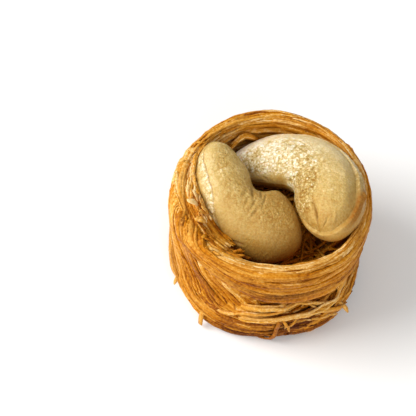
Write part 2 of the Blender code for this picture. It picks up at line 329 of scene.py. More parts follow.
@dataclass(frozen=True)
class RoastedCashew:
    """Roasted cashew: cream, more golden where the roasting caught it, with a waxy sheen.

    Its dried outer layer is finely crackled, with pale lumps and painted shade in the cracks between
    them, and bits of brown skin are left in the seam.
    """

    name: str = "roasted_cashew_flesh"
    stops: Stops = (
        (0.0, "#9C641E"), (0.25, "#B1863C"), (0.5, "#C9A963"), (0.75, "#E8D19C"), (1.0, "#FFF5DC"))
    skin: str = "#9A6014"
    blotch_size: float = 3.2
    mottle_size: float = 0.42
    speck_spacing: float = 1.7
    crackle_size: float = 0.6
    cobble_size: float = 0.66
    stirring: float = 0.5
    painted_crack_shade: float = 0.22
    crack_depth: float = 0.35

    def build(self) -> bpy.types.Material:
        """Makes the material."""
        shader = Shader(self.name)
        place = shader.place()
        pale, brown, crackled = (shader.attribute(name) for name in ("pale", "brown", "crackle"))
        blotch = shader.noise(place, self.blotch_size, 3.0).outputs["Fac"]
        mottle = shader.noise(place, self.mottle_size, 5.0, 0.65)
        stirred = shader.node("VectorMath", {
            0: mottle.outputs["Color"], 1: (self.stirring * MM,) * 3, 2: place}, operation="MULTIPLY_ADD")
        cobbles = shader.cells(stirred.outputs[0], self.cobble_size, "DISTANCE_TO_EDGE")
        dents = shader.maths("MULTIPLY", shader.between(cobbles, 0.0, 0.16, 1.0, 0.0), crackled)
        broad = shader.maths("MULTIPLY_ADD", blotch, 0.24, -0.12)
        fine = shader.maths("MULTIPLY_ADD", mottle.outputs["Fac"], 0.46, -0.23)
        # Painted shade in the cracks between the flakes.
        paler = shader.maths("MULTIPLY_ADD", dents, -self.painted_crack_shade, pale)
        level = shader.maths("ADD", shader.maths("ADD", broad, fine), paler, clamp=True)
        dots = shader.between(shader.cells(place, self.speck_spacing, "F1"), 0.03, 0.08, 0.45, 0.0)
        ragged = shader.between(mottle.outputs["Fac"], 0.38, 0.54, 0.55, 1.0)
        spots = shader.maths("MAXIMUM", dots, shader.maths("MULTIPLY", brown, ragged))
        crackle = shader.noise(place, self.crackle_size, 5.0, 0.62).outputs["Fac"]
        height = shader.maths("MULTIPLY_ADD", dents, -self.crack_depth, crackle)
        strength = shader.maths("MULTIPLY_ADD", crackled, 0.25, 0.7)
        return shader.finish({
            "Base Color": shader.mix(spots, shader.colours(level, self.stops), linear(self.skin)),
            "Normal": shader.bump(height, 0.36, strength),
            "Roughness": shader.maths("MULTIPLY_ADD", brown, 0.4, 0.33),
            "Specular IOR Level": 0.24,
            "IOR": 1.48,
            "Subsurface Weight": 0.22,
            "Subsurface Radius": (1.0, 0.55, 0.22),
            "Subsurface Scale": 1.1 * MM,
        })


@dataclass(frozen=True)
class PaleTable:
    """A plain matt white table top."""

    name: str = "pale_table"
    colour: str = "#F7F6F4"

    def build(self) -> bpy.types.Material:
        """Makes the material."""
        return Shader(self.name).finish({"Base Color": linear(self.colour), "Roughness": 0.8})


@dataclass
class Wall:
    """The cup's wall: its section, turned about the nest's axis and made uneven by hand.

    A place on it is an angle round the nest and a distance along the section, which runs from the
    foot up the outside, over the rim and down the inside to the middle of the floor.
    """

    radius: float = 20.6
    height: float = 26.8
    floor: float = 14.6
    thickness: float = 3.1
    thinner: float = 1.3
    foot_oval: float = 0.75
    foot_corners: float = 0.55
    rim_oval: float = 0.45
    rim_corners: float = 0.3
    rim_flare: float = 0.2
    lean: float = 0.6
    rim_wave: float = 0.45
    waist: float = 0.9
    slimmer: float = 0.65
    overhang: float = 1.4
    points: np.ndarray = field(init=False)
    distances: np.ndarray = field(init=False)
    top: int = field(init=False)
    crest: float = field(init=False)
    length: float = field(init=False)

    def __post_init__(self) -> None:
        """Works out the section's curve."""
        self.points = self.smooth(self.outline(), 16)
        steps = np.hypot(*np.diff(self.points, axis=0).T)
        self.distances = np.concatenate([[0.0], np.cumsum(steps)])
        self.top = int(np.argmax(self.points[:, 1]))
        self.crest = float(self.distances[self.top])
        self.length = float(self.distances[-1])

    def outline(self) -> np.ndarray:
        """The section as radius and height, from the foot to the floor's middle."""
        radius, height, inner = self.radius, self.height, self.radius - self.thickness
        return np.array([
            (radius * 0.935, 0.0),
            (radius * 0.995, height * 0.08),
            (radius, height * 0.26),
            (radius * 0.98, height * 0.47),
            (radius * 0.99, height * 0.68),
            (radius * 0.99, height * 0.86),
            (radius * 0.965, height * 0.965),
            (radius * 0.93, height),
            (inner + 0.4, height * 0.965),
            (inner, height * 0.86),
            (inner - 0.4, height * 0.70),
            (inner - 1.2, self.floor + 2.0),
            (inner - 3.4, self.floor + 0.5),
            (inner * 0.4, self.floor),
            (0.0, self.floor),
        ])

    @staticmethod
    def smooth(points: np.ndarray, steps: int) -> np.ndarray:
        """A Catmull-Rom curve through points.

        Args:
            points: the points, one a row.
            steps: how many pieces each span is cut into.

        Returns:
            The curve's points, one a row.
        """
        ends = np.vstack([points[:1], points, points[-1:]])
        curve = []
        for a, b, c, d in zip(ends, ends[1:], ends[2:], ends[3:]):
            for t in np.arange(steps) / steps:
                curve.append(0.5 * (2 * b + (c - a) * t + (2 * a - 5 * b + 4 * c - d) * t**2
                                    + (3 * b - a - 3 * c + d) * t**3))
        return np.vstack(curve + [points[-1]])

    def section(self, distance: np.ndarray) -> np.ndarray:
        """The radius and the height, in two rows, at distances along the section."""
        return np.array([np.interp(distance, self.distances, values) for values in self.points.T])

    def rise(self, height: np.ndarray) -> np.ndarray:
        """The distance along the section at a height on the outside."""
        return np.interp(height, self.points[: self.top + 1, 1], self.distances[: self.top + 1])

    def sink(self, height: float) -> float:
        """The distance along the section at a height on the inside."""
        return float(np.interp(-height, -self.points[self.top :, 1], self.distances[self.top :]))

    def collar_edge(self, angle: np.ndarray) -> np.ndarray:
        """The height of the collar's lower edge, high at the left and halfway down at the right."""
        slope = 14.6 + 8.6 * ramp(300.0, 225.0, angle) - 2.4 * ramp(295.0, 340.0, angle)
        return slope + 1.3 * hump(290.0, 16.0, angle)

    def recess(self, angle: np.ndarray, height: np.ndarray) -> np.ndarray:
        """How hollow the outside is under the collar, at the front and right, from 0 to 1."""
        turned = wrap(angle, 90.0)
        edge = self.collar_edge(turned)
        under_collar = hump(edge - 2.3, 1.9, height) * ramp(252.0, 272.0, turned) * ramp(356.0, 330.0, turned)
        fanned = ramp(206.0, 226.0, turned) * ramp(272.0, 258.0, turned)
        fanned = fanned * ramp(edge + 0.5, edge - 0.7, height)
        near_foot = hump(6.0, 1.4, height) * hump(297.0, 12.0, turned)
        return np.clip(under_collar + 0.42 * fanned * ramp(8.6, 11.0, height) + 0.8 * near_foot, 0.0, 1.0)

    def slim(self, angle: np.ndarray, height: np.ndarray) -> np.ndarray:
        """How much nearer the axis the outside is: up the right side, and low at the front and left."""
        turned = wrap(angle, -180.0)
        right = ramp(98.0, 72.0, turned) * ramp(-42.0, -18.0, turned) * ramp(5.0, 13.0, height)
        front = hump(-72.0, 15.0, turned) * ramp(9.0, 5.0, height)
        left = hump(-145.0, 14.0, turned) * ramp(12.0, 7.0, height)
        return self.slimmer * (right + front + left)

    def lay(self, angle: np.ndarray, distance: np.ndarray, lift: np.ndarray) -> tuple[np.ndarray, np.ndarray]:
        """Places on the wall.

        Args:
            angle: angles round the nest.
            distance: distances along the section.
            lift: heights out of the wall.

        Returns:
            The points and the directions out of the wall, one a row.
        """
        distance = np.clip(distance, 0.0, self.length)
        radius, height = self.section(distance)
        run_r, run_z = self.section(distance + 0.15) - self.section(distance - 0.15)
        size = np.hypot(run_r, run_z)
        out_r, out_z = run_z / size, -run_r / size

        radians = np.radians(angle)
        share = height / self.height
        off_front = np.abs((radians + 1.15 + math.pi) % (2.0 * math.pi) - math.pi)
        waist = hump(0.50, 0.09, share) * ramp(1.6, 0.4, off_front)
        outside = ramp(self.radius * 0.8, self.radius * 0.93, radius)
        foot = self.foot_oval * np.cos(2.0 * (radians + 1.26))
        foot = foot + self.foot_corners * np.cos(3.0 * radians + 0.9)
        rim = self.rim_oval * np.cos(2.0 * (radians - 0.73)) + self.rim_corners * np.cos(3.0 * radians + 2.2)
        rim = rim + self.rim_flare
        inside = ramp(self.crest, self.crest + 2.5, distance)
        thinner = self.thinner * np.maximum(np.cos(radians), 0.0) ** 2 * inside
        radius = radius + (foot + (rim - foot) * share + thinner) * ramp(0.0, self.radius * 0.6, radius)
        radius = radius - (self.waist * waist + self.slim(angle, height)) * outside
        lift = lift - self.overhang * self.recess(angle, height) * (distance < self.crest)
        height = height - self.rim_wave * np.sin(2.0 * radians + 0.3) * share**3
        radius = radius + out_r * lift
        height = height + out_z * lift
        x = radius * np.cos(radians) - self.lean * share
        points = np.stack([x, radius * np.sin(radians), height], axis=1)
        outward = np.stack([out_r * np.cos(radians), out_r * np.sin(radians), out_z], axis=1)
        return points, outward


@dataclass
class Skein:
    """Threads of one kind, gathered into one joined mesh of closed tubes, and their source of chance."""

    name: str
    seed: int
    sides: int = 6
    draw: np.random.Generator = field(init=False)
    vertices: list[np.ndarray] = field(default_factory=list)
    faces: list[tuple[int, ...]] = field(default_factory=list)
    tones: list[np.ndarray] = field(default_factory=list)
    syrups: list[np.ndarray] = field(default_factory=list)
    count: int = 0

    def __post_init__(self) -> None:
        """Starts the source of chance."""
        self.draw = np.random.default_rng(self.seed)

    def width(self, broad: float) -> float:
        """Draws a thread's width: most are fine, and the given share are broad and flat."""
        return self.draw.uniform(0.75, 1.15) if self.draw.random() < broad else self.draw.uniform(0.36, 0.64)

    def look(self, tone: float, syrup: float, angle: float = SYRUPY_SIDE) -> tuple[float, float]:
        """Draws a thread's tone and its share of syrup about the usual ones, at an angle round the nest."""
        soaked = syrup + 0.22 * math.cos(math.radians(angle - SYRUPY_SIDE))
        return self.draw.normal(tone, 0.072), float(np.clip(self.draw.normal(soaked, 0.15), 0.0, 1.0))

    def waver(self, angle: np.ndarray, longest: float, shortest: float, count: int = 4) -> np.ndarray:
        """Draws a smooth uneven variation: a few waves of different length added together.

        Args:
            angle: the angles at which it is wanted.
            longest: the longest wave, in degrees.
            shortest: the shortest wave, in degrees.
            count: how many waves.

        Returns:
            The variation at each angle, within about -1 and 1.
        """
        lengths = np.exp(self.draw.uniform(math.log(shortest), math.log(longest), count))
        strengths = (lengths / longest) ** 0.6
        turns = np.radians(angle)[:, None] * (360.0 / lengths) + self.draw.uniform(0.0, 2.0 * math.pi, count)
        return (np.sin(turns) * (strengths / strengths.sum() * 1.6)).sum(axis=1)

    def runs(self, start: float, finish: float, sweeps: tuple[float, float], strides: tuple[float, float],
             spare: float = 10.0) -> Iterator[tuple[float, float]]:
        """Draws the threads that follow one another along a lane.

        Args:
            start: the angle at which the first begins.
            finish: the angle that none passes.
            sweeps: the least and the greatest sweep of a thread.
            strides: the least and the greatest share of its sweep after which the next begins.
            spare: the sweep at the finish that may be left without a thread.

        Yields:
            Each thread's first angle and its sweep.
        """
        while start < finish - spare:
            sweep = min(self.draw.uniform(*sweeps), finish - start)
            yield start, sweep
            start += sweep * self.draw.uniform(*strides)

    def add(self, points: np.ndarray, outward: np.ndarray, thickness: float, look: Look) -> None:
        """Adds a thread, pressed flat against what it lies on, with an uneven width and tone.

        Args:
            points: its middle line, one point a row.
            outward: a direction across it at each point.
            thickness: its width.
            look: its tone and its share of syrup.
        """
        draw = self.draw
        sides = self.sides
        along = np.gradient(points, axis=0)
        along /= np.linalg.norm(along, axis=1, keepdims=True) + 1e-9
        across = outward - (outward * along).sum(axis=1, keepdims=True) * along
        across /= np.linalg.norm(across, axis=1, keepdims=True) + 1e-9
        beside = np.cross(along, across)
        steps = len(points)
        place = np.arange(steps)
        swell = 1.0 + 0.10 * np.sin(place * draw.uniform(0.15, 0.6) + draw.uniform(0.0, 6.3))
        swell *= 1.0 + 0.035 * draw.standard_normal(steps)
        radius = 0.5 * thickness * swell
        radius[[0, -1]] *= 0.45
        broad = float(ramp(0.65, 0.95, thickness))
        flat = draw.uniform(0.66, 0.92) * (1.0 - 0.4 * broad)
        twist = (draw.normal(0.0, 0.45) + place * draw.uniform(-0.06, 0.06)) * (1.0 - 0.8 * broad)
        turn = np.arange(sides) * 2.0 * math.pi / sides
        ring_out = np.cos(turn)[None, :] * flat
        ring_side = np.sin(turn)[None, :] * (1.9 - flat)
        wide = np.cos(twist)[:, None] * ring_out - np.sin(twist)[:, None] * ring_side
        deep = np.sin(twist)[:, None] * ring_out + np.cos(twist)[:, None] * ring_side
        rings = (points[:, None, :] + radius[:, None, None]
                 * (wide[:, :, None] * across[:, None, :] + deep[:, :, None] * beside[:, None, :]))
        self.vertices.append(rings.reshape(-1, 3))
        first = self.count
        last = first + (steps - 1) * sides
        for low in range(first, last, sides):
            high = low + sides
            for side in range(sides):
                after = (side + 1) % sides
                self.faces.append((low + side, low + after, high + after, high + side))
        self.faces.append(tuple(range(first + sides - 1, first - 1, -1)))
        self.faces.append(tuple(range(last, last + sides)))
        shade = look[0] + 0.10 * np.sin(place * draw.uniform(0.1, 0.35) + draw.uniform(0.0, 6.3))
        self.tones.append(np.repeat(shade, sides))
        self.syrups.append(np.full(steps * sides, look[1]))
        self.count += steps * sides

    def build(self, material: bpy.types.Material) -> bpy.types.Object:
        """Makes the piece.

        Args:
            material: its finish.

        Returns:
            The object, with its place in its mesh.
        """
        mesh = bpy.data.meshes.new(self.name)
        mesh.from_pydata((np.vstack(self.vertices) * MM).tolist(), [], self.faces)
        values = {"tone": self.tones, "syrup": self.syrups}
        dress(mesh, {name: np.clip(np.concatenate(parts), 0.0, 1.0) for name, parts in values.items()}, material)
        piece = bpy.data.objects.new(self.name, mesh)
        bpy.context.scene.collection.objects.link(piece)
        return piece


@dataclass(frozen=True)
class Crease:
    """A fine groove or pit in a nut's skin, between two places on it.

    A place is how far along the nut it is, from -1 to 1, and the angle round it from its outer edge
    over the top, in degrees. A ridge has a depth below 0, and a crumb of skin is a ridge that is
    brown.
    """

    start: tuple[float, float]
    end: tuple[float, float]
    width: float
    depth: float
    brown: float = 0.0


@dataclass(frozen=True)
class Seam:
    """Where a nut's two halves meet, at an angle over the outer edge.

    The angle grows by the twist from the middle of the nut to its end, and it is less by up to the
    sag away from the place where the seam is highest. The upper half is set back from the lower one
    by the ledge, most from the given place along the nut to its end. A strip of brown skin is left
    over the seam at skin_at, unless that is 0. Under the seam, between two places along the nut, the
    lower half is paler by the share pale: a painted highlight.
    """

    angle: float
    twist: float
    sag: float
    highest: float
    width: float
    depth: float
    ledge: float
    ledge_from: float
    skin_at: float
    pale: float
    pale_from: float
    pale_to: float


@dataclass
class Cashew:
    """A whole roasted cashew: two halves meeting in a seam, bent into a kidney.

    The bend is in radians and the rotation in degrees. The share flaky says how much of its outer
    layer is crackled, up to the place flaked_to along it, pale how pale it is, paler how much that
    rises towards its end as a painted gradient of light and shade, and golden how golden and smooth
    the inner side of its first half is. The notch is the share by which its bend is thinner on the
    inner side, over the share notch_length of the nut both ways. At its end the upper half is drawn
    back by the share end_ledge of the ledge.
    """

    node: Node
    half_width: float
    half_thickness: float
    taper: float
    bend: float
    location: tuple[float, float, float]
    rotation: tuple[float, float, float]
    seam: Seam
    creases: tuple[Crease, ...]
    flaky: float
    flaked_to: float
    pale: float
    paler: float
    golden: float
    notch: float
    notch_length: float = 0.34
    spine: float = 13.64
    bluntness: float = 2.5
    end_ledge: float = 0.85
    segments: int = 320
    rings: int = 250

    def turned(self) -> np.ndarray:
        """The nut's turn, as a matrix."""
        return np.array(Euler([math.radians(angle) for angle in self.rotation]).to_matrix())

    def placed(self, local: np.ndarray) -> np.ndarray:
        """Where the nut's own points lie in the nest."""
        return local @ self.turned().T + np.array(self.location)

    def bent(self, turn: np.ndarray, outward: np.ndarray, height: np.ndarray) -> np.ndarray:
        """The points at angles along the bend, at distances out from its middle line and at heights."""
        radius = self.spine + outward
        return np.stack([radius * np.sin(turn), radius * np.cos(turn) - self.spine, height], axis=1)

    def sizes(self, along: np.ndarray, ring: np.ndarray,
              outward: np.ndarray) -> tuple[np.ndarray, np.ndarray, np.ndarray]:
        """How thick the smooth nut is.

        Args:
            along: places along it, from -1 to 1.
            ring: how wide a sphere is there, as a share of its radius.
            outward: a value that is below 0 on the inner side of the bend.

        Returns:
            Its size as a share, its half width and its half thickness.
        """
        size = ring ** (2.0 / self.bluntness) * (1.0 + self.taper * along)
        inner = np.where(outward < 0.0, 1.0 - self.notch * hump(0.0, self.notch_length, along), 1.0)
        return size, self.half_width * size * inner, self.half_thickness * size

    def clear(self, points: np.ndarray, margin: float) -> np.ndarray:
        """Moves points that lie in the nut out to its surface.

        Args:
            points: the points, one a row.
            margin: how far from the surface they have to stay.

        Returns:
            The points, moved where they were in the nut.
        """
        local = (points - np.array(self.location)) @ self.turned()
        across = local[:, 1] + self.spine
        turn = np.arctan2(local[:, 0], across)
        along = turn * 2.0 / self.bend
        outward = np.hypot(local[:, 0], across) - self.spine
        ring = np.sqrt(np.clip(1.0 - np.abs(along) ** self.bluntness, 0.0, 1.0))
        _, wide, high = self.sizes(along, ring, outward)
        depth = np.hypot(outward / (wide + margin), local[:, 2] / (high + margin))
        inside = (depth < 1.0) & (np.abs(along) < 1.0) & (across > 0.0)
        grow = np.where(inside, 1.0 / np.maximum(depth, 0.05), 1.0)
        moved = self.placed(self.bent(turn, outward * grow, local[:, 2] * grow))
        return np.where(inside[:, None], moved, points)

    def build(self, material: bpy.types.Material) -> None:
        """Makes the nut from a sphere, standing for its solid.

        Args:
            material: its finish.
        """
        bpy.ops.object.select_all(action="DESELECT")
        bpy.ops.mesh.primitive_uv_sphere_add(segments=self.segments, ring_count=self.rings, radius=1.0)
        piece = bpy.context.object
        piece.name = piece.data.name = self.node.value + "_nut"
        points, looks = self.shape(mesh_points(piece.data))
        dress(piece.data, looks, material)
        move_points(piece, self.placed(points))
        stand_for(piece, self.node, Slot.CASHEW)

    def shape(self, directions: np.ndarray) -> tuple[np.ndarray, dict[str, np.ndarray]]:
        """The nut's surface for the directions of a sphere.

        Args:
            directions: unit vectors, one a row.

        Returns:
            The points, bending in their XY plane round +Y, and for each point how pale, with painted light
            and shade, how brown, with painted light reflected from the pastry, and how crackled it is.
        """
        x, y, z = directions.T
        along = np.copysign(np.abs(z) ** (2.0 / self.bluntness), z)
        ring = np.hypot(x, y)
        around = np.degrees(np.arctan2(y, x))
        side, up = np.cos(np.radians(around)), np.sin(np.radians(around))
        size, wide, high = self.sizes(along, ring, side)
        turn = along * self.bend / 2.0
        creases, crumbs = self.crease_depth(along, around, turn * self.spine)
        groove, brown, lower, upper = self.seam_depth(along, around, size)
        turn = turn - self.end_ledge * self.seam.ledge * ramp(0.66, 0.95, along) * upper / self.spine

        golden = self.golden * ramp(140.0, 168.0, around % 360.0) * ramp(-0.02, -0.22, along)
        golden = golden * ramp(250.0, 200.0, around % 360.0)
        dusky = self.golden * ramp(66.0, 116.0, around) * ramp(-0.48, -0.70, along)
        crackle = np.maximum(self.crackled(along, around) * (1.0 - golden), 0.7 * lower)
        area = ring * size + 1e-4
        relief, flakes = self.relief(self.bent(turn, side * wide, up * high), area / area.sum(), crackle)
        # The rise of pale along the nut, the pale band under the seam and the pale raised flakes are painted
        # light.
        pale = self.pale + self.paler * along + 2.6 * flakes + self.seam.pale * lower
        # Darker on the outer edge and the side under it: painted shade. The crackled zone is paler as a painted
        # sheen.
        under = ramp(64.0, -20.0, around) * ramp(1.04, 0.62, along)
        pale = pale + 0.10 * crackle - 0.30 * under - np.maximum(0.45 * golden, 0.34 * dusky)
        brown = np.clip(brown + crumbs, 0.0, 1.0)
        lift = relief - groove - creases
        points = self.bent(turn, side * (wide + lift), up * (high + lift))
        return points, {"pale": pale, "brown": brown, "crackle": crackle}

    def crackled(self, along: np.ndarray, around: np.ndarray) -> np.ndarray:
        """How crackled the skin is: most over the top and the inner side, least at the outer edge."""
        over = ramp(48.0, 92.0, around) * ramp(200.0, 165.0, around)
        until = self.flaked_to + 0.75 * ramp(80.0, 130.0, around)
        flaked = ramp(-1.0, -0.8, along) * ramp(0.35, -0.1, along - until)
        return self.flaky * (0.14 + 0.86 * over * (0.12 + 0.88 * flaked))

    def cells(self, points: np.ndarray, share: np.ndarray, size: float,
              draw: np.random.Generator) -> tuple[np.ndarray, np.ndarray]:
        """Splits the surface into small uneven flakes.

        Args:
            points: the surface's points.
            share: the area round each point, as a share of the whole.
            size: how wide a flake is.
            draw: the source of chance.

        Returns:
            The height of each point's flake, about -1 to 1, and its distance from the flake's edge.
        """
        count = round(900.0 / size**2)
        seeds = points[draw.choice(len(points), count, replace=False, p=share)]
        tree = kdtree.KDTree(count)
        for index, seed in enumerate(seeds):
            tree.insert(seed, index)
        tree.balance()
        heights = draw.uniform(-1.0, 1.0, count)
        tilts = draw.normal(0.0, 1.3 / size, (count, 3))
        own = np.empty(len(points))
        edge = np.empty(len(points))
        for number, point in enumerate(points):
            place = Vector(point)
            near, far = tree.find_n(place + 0.3 * size * noise.noise_vector(place * 1.4 / size), 2)
            own[number] = heights[near[1]] + tilts[near[1]] @ (point - seeds[near[1]])
            edge[number] = 0.5 * (far[2] - near[2])
        return own, edge

    def relief(self, points: np.ndarray, share: np.ndarray,
               crackle: np.ndarray) -> tuple[np.ndarray, np.ndarray]:
        """The nut's uneven surface: broad dents, and flakes of its dried outer layer.

        Args:
            points: the points of the smooth nut.
            share: the area round each point, as a share of the whole.
            crackle: how crackled it is, from 0 to 1.

        Returns:
            The height of the surface over the smooth nut, and that of the flakes alone.
        """
        draw = np.random.default_rng(round(100.0 * self.bend))
        broad = np.array([0.20 * noise.noise(place * 0.20) + 0.05 * noise.noise(place * 0.55)
                          for place in map(Vector, points)])
        coarse, coarse_edge = self.cells(points, share, 0.84, draw)
        fine, fine_edge = self.cells(points, share, 0.46, draw)
        flakes = 0.036 * coarse - 0.04 * ramp(0.16, 0.0, coarse_edge)
        flakes = flakes + 0.040 * fine - 0.03 * ramp(0.10, 0.0, fine_edge)
        return broad + crackle * flakes, crackle * flakes

    def seam_depth(self, along: np.ndarray, around: np.ndarray,
                   size: np.ndarray) -> tuple[np.ndarray, np.ndarray, np.ndarray, np.ndarray]:
        """How deep the seam lies, how brown it is with skin and with painted light from the pastry, and which
        half is which.

        Args:
            along: the place of each point along the nut, from -1 to 1.
            around: its angle round the nut, in degrees.
            size: the nut's size there, as a share.

        Returns:
            The depth, the share of brown (skin, and painted light reflected from the pastry along the lower
            edge), how far it is in the painted highlight under the seam, and 1 on the upper half and 0 on the
            lower.
        """
        seam = self.seam
        girth = (self.half_width + self.half_thickness) / 2.0 * np.maximum(size, 0.05)
        middle = seam.angle + seam.twist * along
        middle = middle - seam.sag * (1.0 - hump(seam.highest, 0.584, along))
        over = np.radians(around - middle) * girth + 0.09 * np.sin(19.0 * along)
        over = over + 0.06 * np.sin(47.0 * along + 1.0)
        beside = np.radians(np.abs(around) - 176.0) * girth
        groove = np.exp(-((over / seam.width) ** 2)) + ramp(0.5, 0.9, np.abs(along)) * hump(0.0, 0.3, beside)
        late = ramp(seam.ledge_from - 0.35, seam.ledge_from + 0.15, along)
        upper = ramp(-0.10, 0.16, over)
        set_back = seam.ledge * (0.15 + 0.85 * late) * upper * ramp(3.5, 0.3, over)
        shrink = np.minimum(1.0, size * 1.6)
        skin = hump(seam.skin_at, 0.11, along) * ramp(0.15, -0.1, over) * ramp(-1.8, -1.3, over)
        brown = 0.6 * groove * shrink * (1.0 - late) + 1.6 * skin * (seam.skin_at > 0.0)
        # Orange-brown along the lower outer edge: painted light reflected from the pastry.
        brown = brown + 0.28 * ramp(28.0, -8.0, around) * (1.0 - 0.8 * late)
        # The pale band under the seam is a painted highlight.
        lower = (0.68 * ramp(0.2, -0.2, over) + 0.32 * ramp(3.2, 0.0, over)) * ramp(-2.9, -1.0, over)
        lower = lower * ramp(seam.pale_from - 0.15, seam.pale_from + 0.2, along)
        lower = lower * ramp(seam.pale_to + 0.1, seam.pale_to - 0.1, along)
        return (seam.depth * groove + set_back) * shrink, brown, lower, upper

    def crease_depth(self, along: np.ndarray, around: np.ndarray,
                     length: np.ndarray) -> tuple[np.ndarray, np.ndarray]:
        """How deep the creases lie and how brown they are.

        Args:
            along: the place of each point along the nut, from -1 to 1.
            around: its angle round the nut, in degrees.
            length: its distance along the nut.

        Returns:
            The depth and the share of brown at each point.
        """
        per_degree = math.radians((self.half_width + self.half_thickness) / 2.0)
        scale = np.array([self.bend / 2.0 * self.spine, per_degree])
        spot = np.stack([length, around * per_degree], axis=1)
        depth = np.zeros(len(along))
        brown = np.zeros(len(along))
        for crease in self.creases:
            start = crease.start * scale
            way = crease.end * scale - start
            share = np.clip((spot - start) @ way / max(way @ way, 1e-6), 0.0, 1.0)
            miss = np.hypot(*(spot - start - share[:, None] * way).T)
            fade = 0.35 + 0.65 * np.sin(np.pi * np.clip(share, 0.08, 0.92))
            mark = fade * np.exp(-((miss / crease.width) ** 2))
            depth += crease.depth * mark
            brown += crease.brown * mark
        return depth, brown


@dataclass(frozen=True)
class Bundle:
    """A few threads laid side by side through places on the outside of the wall, over a spread."""

    threads: int
    spread: float
    tone: float
    places: Places


